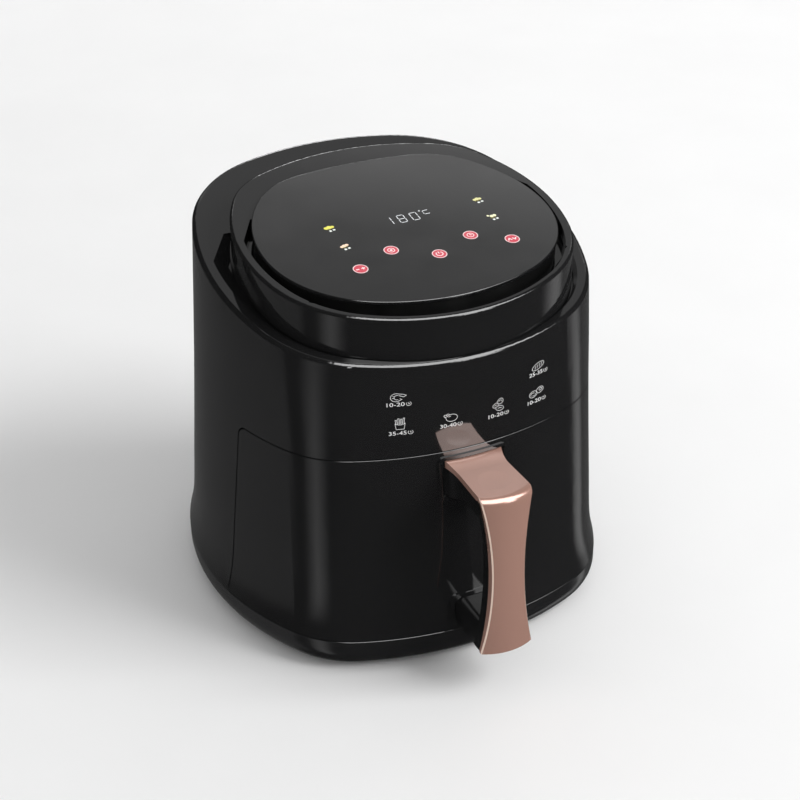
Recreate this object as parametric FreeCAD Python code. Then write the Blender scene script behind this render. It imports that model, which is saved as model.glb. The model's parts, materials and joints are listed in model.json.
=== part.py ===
import FreeCAD, Part

import math
import os
from collections import namedtuple

# Drawer air fryer, in millimetres. +Z is up and the front with the handle faces -Y. All
# dimensions are measured from the housing's upright middle line and the surface it stands
# on; the finished parts are then moved back so that the origin is under the middle of the
# whole object, handle included.

os.makedirs("parts", exist_ok=True)

V = FreeCAD.Vector

# ---- driving dimensions: housing -------------------------------------------------------
FOOT_HEIGHT = 4.0
SEAM_BASE_Z = 26.0            # top of the base ring
SEAM_DRAWER_Z = 164.0         # underside of the upper housing over the drawer
FLARE_TOP_Z = 57.0            # below this the housing flares out to the base
LOFT_TOP_Z = 300.0            # higher than any point of the housing
HALF_WIDTH_AT_SEAM = 135.0
HALF_DEPTH_AT_SEAM = 131.5
SIDE_DRAFT = 0.0565           # widening per millimetre of drop, at the sides
FRONT_DRAFT = 0.0728          # what the front and back gain under the drawer seam
FRONT_DRAFT_ABOVE = 0.0080    # their draft above it
FRONT_TURN = 50.0             # height over which one turns into the other
SIDE_FLARE = 3.1
FRONT_FLARE = 3.05
WALL = 2.8

# ---- slanted planes of the top: height at Y = 0 and rise per millimetre of Y ------------
RIM_PLANE = (253.5, 0.184)
COLLAR_PLANE = (276.2, 0.126)
PANEL_PLANE = (279.5, 0.1108)
RIM_THICKNESS = 6.5
RIM_ROUND = 2.8
SEAT_DEPTH = 10.3             # the collar's lower edge below the rim plane
SEAT_LEDGE = 2.6
SEAT_WIDTH = 15.0             # how far the ledge under the collar reaches inwards
COLLAR_SCREW_HEAD_R = 3.2
RIM_BAND = 6.5                # flat band outside the crescent facet
FACET_RUN = 9.5
FACET_DROP = 4.2
FACET_END = ((118.9, 18.6), (103.7, 42.0))
COLLAR_WALL = 2.6
COLLAR_BAND = 6.2
COLLAR_ROUND = 2.0
COLLAR_BEAD = 0.8
RECESS_DEPTH = 9.0
RECESS_FORWARD = 2.8          # how much nearer the edge the recess comes at the front
RECESS_FLOOR = 2.2
RECESS_END = ((104.0, 0.0), (92.0, 20.6))
GLASS_THICKNESS = 2.2

# ---- driving dimensions: drawer --------------------------------------------------------
SIDE_SEAM_TOP = (-42.0, 156.0)    # y, z where the drawer's side seam starts to turn
SIDE_SEAM_FOOT_Y = -35.5
SIDE_SEAM_ROUND = 8.0
DRAWER_GAP = 0.6
DRAWER_SKIN = 3.0
PAN_HALF_WIDTH = 106.0
PAN_FRONT_Y = -112.0
PAN_BACK_Y = 107.0
PAN_CORNER = 58.0
PAN_FLOOR_Z = 31.0
PAN_RIM_Z = 158.0
PAN_SHEET = 1.2
PAN_FLANGE = 4.0
PLATE_Z = 46.0                # underside of the crisper plate
BUMPER_Z = 44.0

# ---- driving dimensions: chamber and fan -----------------------------------------------
LINER_HALF_WIDTH = 113.0
LINER_FRONT_Y = -114.5
LINER_BACK_Y = 113.5
LINER_CORNER = 62.0
LINER_SHEET = 1.0
LINER_FLOOR_Z = 27.5
LINER_TOP_Z = 212.0
BULKHEAD_Y = -33.0
BULKHEAD = 2.5
RAIL_BACK_Y = 47.0
GUARD_Z = 170.0
ELEMENT_Z = 180.0
ELEMENT_R = 3.3
SHAFT_R = 4.0
MOTOR_Z = 236.0               # underside of the lamination stack
MOTOR_STACK = 18.0
SHIELD_Z = 212.0
SHIELD = 1.2
STUD_X = 33.0
STUD_R = 2.0

# ---- driving dimensions: handle --------------------------------------------------------
HANDLE_TOP_Z = 154.3
HANDLE_BOTTOM_Z = 35.3
HANDLE_ROOT_Y = -129.0
CROWN_R = 39.5
CROWN_TOP_Y = -183.3          # foremost line of the crowned front plate, at its top
CROWN_BOTTOM_Y = -189.8
COVER_DEPTH = 7.4
COVER_TOP = 4.0
GRIP_DEPTH = 12.0
CORNER_ROUND = 5.0
EDGE_BEVEL = 0.8              # bright bevel along both sides of the front plate
GRIP_HALF_WIDTHS = (18.9, 12.0, 19.2)      # at the top, waist and bottom
WAIST_Z = 91.0
ARM_HALF_WIDTH = 17.8
ROOT_HALF_WIDTH = 21.9
LOWER_ARM_HALF_WIDTH = 16.0
LOWER_ARM_Z = (31.0, 49.0)


# ---- outlines of tangent arcs ----------------------------------------------------------
Outline = namedtuple(
    "Outline", "half_width front back side_r front_r back_r front_corner back_corner middle_y"
)


def inset(o, d):
    """The outline moved inwards by d; a negative d moves it out."""
    return Outline(
        o.half_width - d, o.front - d, o.back - d, o.side_r - d, o.front_r - d,
        o.back_r - d, o.front_corner - d, o.back_corner - d, o.middle_y,
    )


def unit(x, y):
    length = math.hypot(x, y)
    return x / length, y / length


def corner_points(o, depth, end_r, corner_r, sign):
    """Where the corner arc of one end touches the side arc and the end arc, and its middle."""
    side_c = (o.half_width - o.side_r, o.middle_y)
    end_c = (0.0, sign * (depth - end_r))
    r1 = o.side_r - corner_r
    r2 = end_r - corner_r
    ux, uy = unit(end_c[0] - side_c[0], end_c[1] - side_c[1])
    apart = math.hypot(end_c[0] - side_c[0], end_c[1] - side_c[1])
    along = (apart**2 + r1**2 - r2**2) / (2 * apart)
    across = math.sqrt(r1**2 - along**2)
    centres = [
        (side_c[0] + ux * along - s * uy * across, side_c[1] + uy * along + s * ux * across)
        for s in (1, -1)
    ]
    c = max(centres, key=lambda p: p[0] + sign * p[1])
    a = unit(c[0] - side_c[0], c[1] - side_c[1])
    b = unit(c[0] - end_c[0], c[1] - end_c[1])
    m = unit(a[0] + b[0], a[1] + b[1])
    return [(c[0] + corner_r * d[0], c[1] + corner_r * d[1]) for d in (a, m, b)]


def outline_wire(o, z):
    """Eight tangent arcs, symmetric about X = 0, at height z."""
    f1, fm, f2 = corner_points(o, o.front, o.front_r, o.front_corner, -1)
    b1, bm, b2 = corner_points(o, o.back, o.back_r, o.back_corner, 1)
    right = [
        (f2, fm, f1),
        (f1, (o.half_width, o.middle_y), b1),
        (b1, bm, b2),
    ]
    back = [(b2, (0.0, o.back), (-b2[0], b2[1]))]
    left = [tuple((-x, y) for x, y in reversed(arc)) for arc in reversed(right)]
    front = [((-f2[0], f2[1]), (0.0, -o.front), f2)]
    edges = [
        Part.Arc(*(V(x, y, z) for x, y in arc)).toShape()
        for arc in right + back + left + front
    ]
    return Part.Wire(edges)


def outline_prism(o, z0, z1):
    return Part.Face(outline_wire(o, z0)).extrude(V(0, 0, z1 - z0))


# ---- small solid helpers ---------------------------------------------------------------
def box(x0, x1, y0, y1, z0, z1):
    return Part.makeBox(x1 - x0, y1 - y0, z1 - z0, V(x0, y0, z0))


def rod(r, z0, z1, x=0.0, y=0.0):
    return Part.makeCylinder(r, z1 - z0, V(x, y, z0))


def rod_y(r, y0, y1, x, z):
    return Part.makeCylinder(r, y1 - y0, V(x, y0, z), V(0, 1, 0))


def rod_x(r, x0, x1, y, z):
    return Part.makeCylinder(r, x1 - x0, V(x0, y, z), V(1, 0, 0))


def tube(r_out, r_in, z0, z1, x=0.0, y=0.0):
    return rod(r_out, z0, z1, x, y).cut(rod(r_in, z0, z1, x, y))


def hexagon(across_flats, z0, z1, x=0.0, y=0.0):
    r = across_flats / math.sqrt(3)
    points = [V(x + r * math.cos(k * math.pi / 3), y + r * math.sin(k * math.pi / 3), z0)
              for k in range(7)]
    return Part.Face(Part.makePolygon(points)).extrude(V(0, 0, z1 - z0))


def rounded_box(x0, x1, y0, y1, z0, z1, r):
    """A box with its four upright edges rounded."""
    b = box(x0, x1, y0, y1, z0, z1)
    upright = [e for e in b.Edges if abs(e.Vertexes[0].Z - e.Vertexes[-1].Z) > 0.1]
    return b.makeFillet(r, upright)


def profile_x(points, half_width):
    """A closed (y, z) polygon extruded to both sides of X = 0."""
    loop = [V(-half_width, y, z) for y, z in points]
    loop.append(loop[0])
    return Part.Face(Part.makePolygon(loop)).extrude(V(2 * half_width, 0, 0))


def above(plane, drop=0.0):
    """Everything higher than a slanted plane lowered by drop."""
    z0, rise = plane
    reach = 320.0
    low = z0 - drop
    return profile_x(
        [(-reach, low - rise * reach), (reach, low + rise * reach), (reach, 700.0), (-reach, 700.0)],
        reach,
    )


def shear_to(shape, plane, drop=0.0):
    """Moves a shape made over Z = 0 onto a slanted plane."""
    m = FreeCAD.Matrix()
    m.A32 = plane[1]
    m.A34 = plane[0] - drop
    return shape.transformGeometry(m)


def slanted_prism(o, plane, low, high):
    """A prism of an outline between two heights measured from a slanted plane."""
    tall = outline_prism(o, 150.0, 330.0)
    return tall.cut(above(plane, -high)).common(above(plane, -low))


def mirror_x(shape):
    return shape.mirror(V(0, 0, 0), V(1, 0, 0))


def both(shape):
    """A shape and its mirror image across X = 0."""
    return [shape, mirror_x(shape)]


def fuse(shapes):
    first, *rest = shapes
    return first.multiFuse(rest).removeSplitter() if rest else first


def round_edges(shape, radius, wanted):
    """Rounds the edges that wanted() picks."""
    edges = [e for e in shape.Edges if wanted(e)]
    return shape.makeFillet(radius, edges)


def save(name, shape):
    """Writes a node, one solid or a group of separate solids."""
    solids = shape if isinstance(shape, list) else shape.Solids
    solids = [s for item in solids for s in item.Solids]
    out = solids[0].copy() if len(solids) == 1 else Part.makeCompound(solids)
    out.translate(V(0, -object_middle_y(), 0))
    for s in solids:
        if not s.isValid() or s.Volume <= 0:
            print("BAD", name, s.isValid(), s.Volume)
    out.exportStep(f"parts/{name}.step")
    print(name, len(solids), round(sum(s.Volume for s in solids) / 1000, 1))


# ---- the housing's surface -------------------------------------------------------------
def soft_ramp(x, width):
    """Zero well below 0, x well above it, with a smooth turn about as wide as width."""
    return (x + math.hypot(x, width)) / 2


def housing_outline(z):
    """The housing's outline at height z, from its drafts, base flare and corner rounding."""
    below = SEAM_DRAWER_Z - z
    flare = (max(0.0, FLARE_TOP_Z - z) / (FLARE_TOP_Z - SEAM_BASE_Z)) ** 2
    a = HALF_WIDTH_AT_SEAM + SIDE_DRAFT * below + SIDE_FLARE * flare
    turn = soft_ramp(below, FRONT_TURN) - FRONT_TURN / 2
    b = HALF_DEPTH_AT_SEAM + FRONT_DRAFT_ABOVE * below + FRONT_DRAFT * turn + FRONT_FLARE * flare
    mean = (a + b) / 2
    rise = soft_ramp(-below, 24.0) / 90.0        # near 0 under the drawer seam, 1 near the rim
    front_corner = 0.4915 * mean + 23.0 * rise
    side_r = 1.319 * mean + 18.0 * rise
    front_r = 1.595 * mean - 36.0 * rise
    return Outline(a, b, b, side_r, front_r, 1.595 * mean, front_corner, front_corner, 0.0)


HOUSING_LEVELS = (
    SEAM_BASE_Z, 34.0, 44.0, FLARE_TOP_Z, 80.0, 108.0, 136.0,
    SEAM_DRAWER_Z, 192.0, 220.0, 246.0, 272.0, LOFT_TOP_Z,
)


def housing_solid(depth=0.0):
    """The solid inside the housing's surface, moved inwards by depth."""
    wires = [outline_wire(inset(housing_outline(z), depth), z) for z in HOUSING_LEVELS]
    return Part.makeLoft(wires, True, False)


def drawer_zone(gap=0.0):
    """The space in front of the side seams and under the upper housing."""
    top = SEAM_DRAWER_Z - gap
    y_top = SIDE_SEAM_TOP[0] - gap
    y_foot = SIDE_SEAM_FOOT_Y - gap
    r = SIDE_SEAM_ROUND
    s = 0.7071
    front = V(0, -320.0, top)
    turn = V(0, y_top - r, top)
    middle = V(0, y_top - r + r * s, top - r + r * s)
    side = V(0, y_top, top - r)
    foot = V(0, y_foot, SEAM_BASE_Z - 1.0)
    low = V(0, -320.0, SEAM_BASE_Z - 1.0)
    edges = [
        Part.LineSegment(front, turn).toShape(),
        Part.Arc(turn, middle, side).toShape(),
        Part.LineSegment(side, foot).toShape(),
        Part.LineSegment(foot, low).toShape(),
        Part.LineSegment(low, front).toShape(),
    ]
    face = Part.Face(Part.Wire(edges))
    face.translate(V(-200, 0, 0))
    return face.extrude(V(400, 0, 0))


HOUSING = housing_solid()
HOUSING_INNER = housing_solid(WALL)

COLLAR = Outline(113.0, 126.6, 86.4, 139.0, 138.5, 169.0, 81.5, 57.0, -21.7)
PANEL = Outline(102.8, 114.3, 61.4, 104.0, 140.0, 291.0, 78.0, 56.0, -29.1)
RIM = Outline(128.3, 131.5, 131.4, 195.0, 171.0, 212.0, 88.0, 92.0, -0.5)


def pan_prism(z0, z1, grow=0.0):
    """An upright prism of the pan's plan, grown outwards."""
    w = PAN_HALF_WIDTH + grow
    return rounded_box(-w, w, PAN_FRONT_Y - grow, PAN_BACK_Y + grow, z0, z1, PAN_CORNER + grow)


def liner_prism(z0, z1, shrink=0.0):
    w = LINER_HALF_WIDTH - shrink
    return rounded_box(
        -w, w, LINER_FRONT_Y + shrink, LINER_BACK_Y - shrink, z0, z1, LINER_CORNER - shrink
    )


def ramp(end, slope):
    """The half-space over a ramp that starts on a line between two plan points."""
    (ax, ay), (bx, by) = end
    ux, uy = unit(bx - ax, by - ay)
    n = V(-uy, ux, 0)
    tilt = math.atan(slope)
    up = n * math.sin(tilt) + V(0, 0, math.cos(tilt))
    big = Part.makeBox(700, 700, 400, V(-350, -350, 0))
    turn = FreeCAD.Rotation(V(ux, uy, 0), V(0, 0, 0), up, "ZXY")
    big.Placement = FreeCAD.Placement(V(ax, ay, 0), turn)
    return big


# ---- housing parts ---------------------------------------------------------------------
def facet_cutter():
    """Cuts the crescent facet that falls from the rim's flat band to the collar."""
    run, drop = FACET_RUN, FACET_DROP
    edge = outline_wire(inset(RIM, RIM_BAND), 0.0)
    foot = outline_wire(inset(RIM, RIM_BAND + run), -drop)
    slope = Part.makeLoft([foot, edge], True, True)
    over = outline_prism(inset(RIM, RIM_BAND), 0.0, 30.0)
    cutter = slope.fuse(over)
    for half_space in both(ramp(FACET_END, drop / run)):
        cutter = cutter.common(half_space)
    cutter = cutter.common(box(-200, 200, -200, FACET_END[1][1], -50, 50))
    return shear_to(cutter, RIM_PLANE)


def shell_boss(x, y):
    """A screw boss on the shell's wall, tied to it by a rib, and the hole in it."""
    post = rod(5.0, SEAM_BASE_Z, 60.0, x, y)
    rib = box(-1.2, 1.2, 0, 30, SEAM_BASE_Z, 58.0)
    rib.rotate(V(0, 0, 0), V(0, 0, 1), math.degrees(math.atan2(y, x)) - 90)
    rib.translate(V(x, y, 0))
    return post.fuse(rib).common(HOUSING), rod(1.6, SEAM_BASE_Z, 50.0, x, y)


def seat_z(y):
    """Height of the ledge that the collar stands on."""
    return RIM_PLANE[0] + RIM_PLANE[1] * y - SEAT_DEPTH


BOSS_PLACES = [(124.0, 8.0), (-124.0, 8.0), (98.5, 101.0), (-98.5, 101.0)]
GRILLE_Z = (184.0, 232.0)
GRILLE_HALF_WIDTH = 46.0
GLAND_Z = 48.0


def outer_shell():
    rim_cut = HOUSING.cut(above(RIM_PLANE))
    top_edges = [
        e for e in rim_cut.Edges
        if abs(e.CenterOfMass.z - (RIM_PLANE[0] + RIM_PLANE[1] * e.CenterOfMass.y)) < 0.8
        and e.CenterOfMass.z > 200
    ]
    outer = rim_cut.makeFillet(RIM_ROUND, top_edges)
    cavity = HOUSING_INNER.cut(above(RIM_PLANE, RIM_THICKNESS))
    seat = slanted_prism(
        inset(COLLAR, -3.5), RIM_PLANE, -SEAT_DEPTH - SEAT_LEDGE, -RIM_THICKNESS + 0.3
    )
    seat = seat.common(HOUSING_INNER)
    shell = outer.cut(cavity).fuse(seat)
    well = slanted_prism(inset(COLLAR, -1.1), RIM_PLANE, -SEAT_DEPTH, 40.0)
    opening = slanted_prism(inset(COLLAR, SEAT_WIDTH), RIM_PLANE, -40.0, 0.0)
    shell = shell.cut(well).cut(opening).cut(facet_cutter())
    for x, y in COLLAR_SCREWS:
        shell = shell.cut(rod(1.7, seat_z(y) - 6.0, seat_z(y) + 1.0, x, y))
    shell = shell.cut(drawer_zone())
    bosses, holes = zip(*(shell_boss(x, y) for x, y in BOSS_PLACES))
    shell = shell.multiFuse(list(bosses))
    for hole in holes:
        shell = shell.cut(hole)
    shell = shell.cut(box(-GRILLE_HALF_WIDTH, GRILLE_HALF_WIDTH, 90, 160, *GRILLE_Z))
    return shell.cut(rod_y(7.0, 100, 160, 0, GLAND_Z))


def rear_air_grille():
    """A louvred insert that follows the housing's back, with upright ribs inside."""
    gap = 0.3
    low, high = GRILLE_Z
    w = GRILLE_HALF_WIDTH - gap
    plate = HOUSING.cut(HOUSING_INNER).common(box(-w, w, 90, 160, low + gap, high - gap))
    pitch = 5.4
    for k in range(8):
        z = low + 5.0 + pitch * k
        plate = plate.cut(box(-38, 38, 90, 160, z, z + 2.6))
    ribs = [box(x - 1, x + 1, 124.5, 140, low + 3, high - 3) for x in (-19, 0, 19)]
    return fuse([plate, HOUSING_INNER.common(fuse(ribs))])


def top_collar():
    body = outline_prism(COLLAR, 150.0, 330.0).cut(above(COLLAR_PLANE))
    rim = [e for e in body.Edges if e.CenterOfMass.z > 240]
    body = body.makeFillet(COLLAR_ROUND, rim)
    body = body.common(above(RIM_PLANE, SEAT_DEPTH))
    bead = slanted_prism(inset(COLLAR, -COLLAR_BEAD), RIM_PLANE, -5.2, -3.6)
    body = body.fuse(bead)
    hollow = outline_prism(inset(COLLAR, COLLAR_WALL), 150.0, 330.0).cut(above(COLLAR_PLANE, 3.0))
    recess = recess_zone(0.0)
    floor = recess_zone(RECESS_FLOOR)
    posts = [rod(4.5, 215.0, 290.0, x, y).common(above(RIM_PLANE, SEAT_DEPTH))
             .cut(above(COLLAR_PLANE, 2.0)) for x, y in COLLAR_SCREWS]
    body = body.cut(hollow.cut(floor)).multiFuse(posts)
    body = body.cut(recess).cut(tray_opening())
    for x, y in COLLAR_SCREWS:
        body = body.cut(rod(1.5, seat_z(y) - 5, seat_z(y) + 9, x, y))
    for slot in recess_vents():
        body = body.cut(slot)
    return body


def recess_zone(grow):
    """The crescent recess round the panel, grown to leave its own walls and floor."""
    plan = inset(COLLAR, COLLAR_BAND - grow)
    plan = plan._replace(front=plan.front + RECESS_FORWARD)
    zone = outline_prism(plan, -RECESS_DEPTH - grow, 40.0)
    (ax, ay), (bx, by) = RECESS_END
    outer_y = ay + (by - ay) / (bx - ax) * (200 - ax)
    for side in (1, -1):
        corner = [V(side * ax, ay, -60), V(side * bx, by, -60), V(side * bx, 200, -60),
                  V(side * 200, 200, -60), V(side * 200, outer_y, -60)]
        corner = [p + V(0, grow, 0) for p in corner]
        wedge = Part.Face(Part.makePolygon(corner + [corner[0]])).extrude(V(0, 0, 120))
        zone = zone.cut(wedge)
    behind = box(-200, 200, by + grow, 200, -60, 60)
    return shear_to(zone.cut(behind), COLLAR_PLANE)


def tray_opening():
    """The way through the collar's top that the tray hangs in, behind and under the recess."""
    well = outline_prism(inset(PANEL, 1.2), 150.0, 330.0).common(above(COLLAR_PLANE, RECESS_DEPTH))
    way = outline_prism(inset(PANEL, 16.0), 150.0, 330.0)
    return well.fuse(way)


COLLAR_SCREWS = [(104.0, -20.0), (-104.0, -20.0), (57.0, 66.0), (-57.0, 66.0)]


def collar_screws():
    """Screws up through the shell's ledge into the collar's posts."""
    bite = 6.5
    slant = RIM_PLANE[1] * COLLAR_SCREW_HEAD_R + 0.05
    length = bite + SEAT_LEDGE + slant
    shape = screw(1.5, COLLAR_SCREW_HEAD_R, length, 2.0)
    return [placed(shape, (x, y, seat_z(y) + bite), (0, 0, -1)) for x, y in COLLAR_SCREWS]


def recess_vents():
    """Short slots in the front of the recess's floor."""
    slots = []
    for k in range(-5, 6):
        if k == 0:
            continue
        angle = math.radians(k * 8.5)
        x = 128.0 * math.sin(angle)
        y = -126.6 + 138.5 - 131.0 * math.cos(angle)
        slot = box(-7.0, 7.0, -1.5, 1.5, 225, 275)
        slot.rotate(V(0, 0, 0), V(0, 0, 1), math.degrees(angle) * 0.93)
        slot.translate(V(x, y, 0))
        slots.append(slot)
    return slots


def panel_tray():
    """The black bed under the glass: a top plate with a skirt down into the recess."""
    gap = 1.5
    plan = inset(PANEL, gap)
    solid = outline_prism(plan, 150.0, 330.0).cut(above(PANEL_PLANE, GLASS_THICKNESS))
    solid = solid.common(above(COLLAR_PLANE, RECESS_DEPTH))
    room = outline_prism(inset(PANEL, gap + 2.2), 150.0, 330.0)
    room = room.cut(above(PANEL_PLANE, GLASS_THICKNESS + 2.0))
    window = outline_prism(inset(PANEL, 15.0), 150.0, 330.0)
    window = window.cut(above(PANEL_PLANE, GLASS_THICKNESS + 1.0))
    return solid.cut(room).cut(window)


def control_panel_glass():
    glass = outline_prism(PANEL, 150.0, 330.0).cut(above(PANEL_PLANE))
    rim = [e for e in glass.Edges if e.CenterOfMass.z > 240]
    glass = glass.makeFillet(0.7, rim)
    return glass.common(above(PANEL_PLANE, GLASS_THICKNESS))


def ring_outline(z):
    """The base ring's outline: full size near the seam, drawn in towards its foot."""
    below = max(0.0, 19.0 - z) / 15.0
    return inset(housing_outline(SEAM_BASE_Z), 0.1 + 7.0 * below**2.2)


def base_tray():
    levels = (SEAM_BASE_Z, 19.0, 14.0, 9.0, 6.0, FOOT_HEIGHT)
    ring = Part.makeLoft([outline_wire(ring_outline(z), z) for z in levels], True, False)
    edges = [e for e in ring.Edges if abs(e.CenterOfMass.z - SEAM_BASE_Z) < 0.1]
    ring = ring.makeFillet(0.7, edges)
    deck = 2.5
    room = outline_prism(inset(ring_outline(FOOT_HEIGHT), 3.0), 0.0, SEAM_BASE_Z - deck)
    tray = ring.cut(room)
    posts = [rod(6.0, 6.8, SEAM_BASE_Z - deck, x, y) for x, y in PLATE_SCREWS]
    tray = tray.multiFuse(posts)
    for x, y in PLATE_SCREWS:
        tray = tray.cut(rod(1.6, 5.0, 20.0, x, y))
    for x, y in BOSS_PLACES:
        tray = tray.cut(rod(2.1, 15.0, 30.0, x, y))
    return tray


PLATE_SCREWS = [(100.0, 60.0), (-100.0, 60.0), (100.0, -60.0), (-100.0, -60.0)]
FOOT_PLACES = [(88.0, 92.0), (-88.0, 92.0), (88.0, -92.0), (-88.0, -92.0)]


def bottom_plate():
    z0, z1 = 4.8, 6.8
    plate = outline_prism(inset(ring_outline(FOOT_HEIGHT), 3.4), z0, z1)
    for x, y in PLATE_SCREWS:
        plate = plate.cut(rod(2.1, z0, z1, x, y))
    for x, y in FOOT_PLACES:
        plate = plate.cut(rod(3.0, z0, z1, x, y))
    for row in range(-4, 5):
        for side in (-1, 1):
            x, y = side * 34, row * 12
            plate = plate.cut(rounded_box(x - 26, x + 26, y - 2, y + 2, z0, z1, 1.9))
    return plate


def rubber_feet():
    feet = []
    for x, y in FOOT_PLACES:
        pad = rod(9.0, 0.0, 4.8, x, y)
        pad = round_edges(pad, 1.2, lambda e: e.CenterOfMass.z < 0.1 and e.Length > 40)
        peg = rod(3.0, 4.8, 6.8, x, y).fuse(rod(4.2, 6.8, 8.2, x, y))
        feet.append(pad.fuse(peg))
    return feet


def screw(r, head_r, length, head):
    """A cross-slotted pan-head screw along +Z from its tip at the origin."""
    end = length + head
    shank = rod(r, 0, length)
    cap = rod(head_r, length, end)
    cap = round_edges(cap, head * 0.45, lambda e: e.CenterOfMass.z > end - 0.01 and e.Length > 3)
    reach = head_r * 0.55
    slot_floor = length + head * 0.45
    slot_a = box(-reach, reach, -0.45, 0.45, slot_floor, end + 1)
    slot_b = box(-0.45, 0.45, -reach, reach, slot_floor, end + 1)
    return shank.fuse(cap).cut(slot_a).cut(slot_b)


def placed(shape, at, direction):
    """A copy of a shape made along +Z, turned to a direction and moved to a point."""
    copy = shape.copy()
    copy.Placement = FreeCAD.Placement(V(*at), FreeCAD.Rotation(V(0, 0, 1), V(*direction)))
    return copy


def base_screws():
    """Screws up through the base tray into the shell, and up through the bottom plate."""
    down = (0, 0, -1)
    deck_under = SEAM_BASE_Z - 2.5
    into_shell = [placed(screw(1.6, 3.6, 20.0, 2.4), (x, y, deck_under + 20.0), down)
                  for x, y in BOSS_PLACES]
    into_tray = [placed(screw(1.6, 3.4, 10.0, 0.7), (x, y, 14.8), down) for x, y in PLATE_SCREWS]
    return into_shell + into_tray


def front_bulkhead():
    """The deck over the drawer and the wall behind the drawer's side seams."""
    section = housing_solid(WALL + 0.15)
    back = BULKHEAD_Y + BULKHEAD
    top = SEAM_DRAWER_Z + 3.0
    wall = section.common(box(-200, 200, BULKHEAD_Y, back, SEAM_BASE_Z, top))
    deck = section.common(box(-200, 200, -200, back, SEAM_DRAWER_Z + 0.4, top))
    frame = wall.fuse(deck)
    opening = liner_prism(LINER_FLOOR_Z, 260.0)
    frame = frame.cut(opening).cut(box(-113, 113, -60, 0, LINER_FLOOR_Z, 120))
    return frame.cut(box(115.5, 125.5, -60, 0, 136.0, 160.0))


def chamber_liner():
    outer = liner_prism(LINER_FLOOR_Z, LINER_TOP_Z)
    inner = liner_prism(LINER_FLOOR_Z + LINER_SHEET, LINER_TOP_Z - LINER_SHEET, LINER_SHEET)
    liner = outer.cut(inner)
    front_low = box(-200, 200, -200, BULKHEAD_Y, 0, SEAM_DRAWER_Z + 0.4)
    liner = liner.cut(front_low)
    under = liner_prism(LINER_FLOOR_Z - 5, SEAM_DRAWER_Z + 10, LINER_SHEET).common(
        box(-200, 200, -200, BULKHEAD_Y + 0.01, 0, SEAM_DRAWER_Z + 10))
    liner = liner.cut(under)
    liner = liner.cut(rod(9.0, 200, 220))
    for x, y in PIN_PLACES:
        liner = liner.cut(rod(5.2, 200, 220, x, y))
    liner = liner.cut(rod(2.6, 200, 220, *PROBE_PLACE))
    for x in (-STUD_X, STUD_X):
        liner = liner.cut(rod(STUD_R, 200, 220, x, 0))
    return liner.cut(box(-DUCT_HALF_WIDTH + 1, DUCT_HALF_WIDTH - 1, 100, 120, DUCT_Z[0] + 1, DUCT_Z[1] - 1))


PIN_PLACES = [(9.0, 86.0), (-9.0, 62.0)]
PROBE_PLACE = (42.0, 52.0)
DUCT_HALF_WIDTH = 36.0
DUCT_Z = (188.0, 206.0)


def exhaust_duct():
    """A rectangular duct from the chamber's back to the rear grille."""
    w = DUCT_HALF_WIDTH
    low, high = DUCT_Z
    outer = box(-w, w, LINER_BACK_Y, 160, low, high)
    inner = box(-w + 1, w - 1, LINER_BACK_Y - 1, 161, low + 1, high - 1)
    flange = box(-w - 4, w + 4, LINER_BACK_Y, LINER_BACK_Y + 1, low - 4, high + 4)
    duct = outer.fuse(flange).cut(inner)
    return duct.common(housing_solid(WALL + 4.0))


def chamber_gasket():
    """The seal under the deck, round the front of the chamber's mouth."""
    z1 = SEAM_DRAWER_Z + 0.4
    ring = liner_prism(z1 - 1.4, z1, -4.5).cut(liner_prism(z1 - 2, z1 + 1, -0.6))
    ring = ring.common(housing_solid(DRAWER_SKIN + 1.0))
    return ring.common(box(-200, 200, -200, BULKHEAD_Y - 1.0, z1 - 3, z1 + 3))


def drawer_rails():
    z1 = PAN_RIM_Z - 0.5
    inner_x = PAN_HALF_WIDTH + 1.2
    outer_x = LINER_HALF_WIDTH - LINER_SHEET
    ledge = box(inner_x, outer_x, BULKHEAD_Y + 1.0, RAIL_BACK_Y, z1 - 2.0, z1)
    web = box(outer_x - 1.2, outer_x, BULKHEAD_Y + 1.0, RAIL_BACK_Y, z1 - 12.0, z1 - 1.0)
    return both(ledge.fuse(web))


# ---- hot air parts ---------------------------------------------------------------------
def element_guard():
    half = LINER_HALF_WIDTH - LINER_SHEET - 6.0
    sheet = rounded_box(-half, half, LINER_FRONT_Y + 8, LINER_BACK_Y - 8, GUARD_Z, GUARD_Z + 1.0, 48.0)
    tabs = [box(x0, x1, y - 9, y + 9, GUARD_Z, GUARD_Z + 1.0)
            for x0, x1 in ((half - 5, half + 6), (-half - 6, -half + 5)) for y in (-40, 40)]
    sheet = sheet.multiFuse(tabs)
    cuts = []
    for r0, r1, count in ((14, 34, 12), (40, 60, 20), (66, 92, 28)):
        for k in range(count):
            slot = rounded_box(r0, r1, -2.4, 2.4, GUARD_Z - 1, GUARD_Z + 2, 2.3)
            slot.rotate(V(0, 0, 0), V(0, 0, 1), 360.0 * k / count)
            cuts.append(slot)
    return sheet.cut(Part.makeCompound(cuts))


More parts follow.
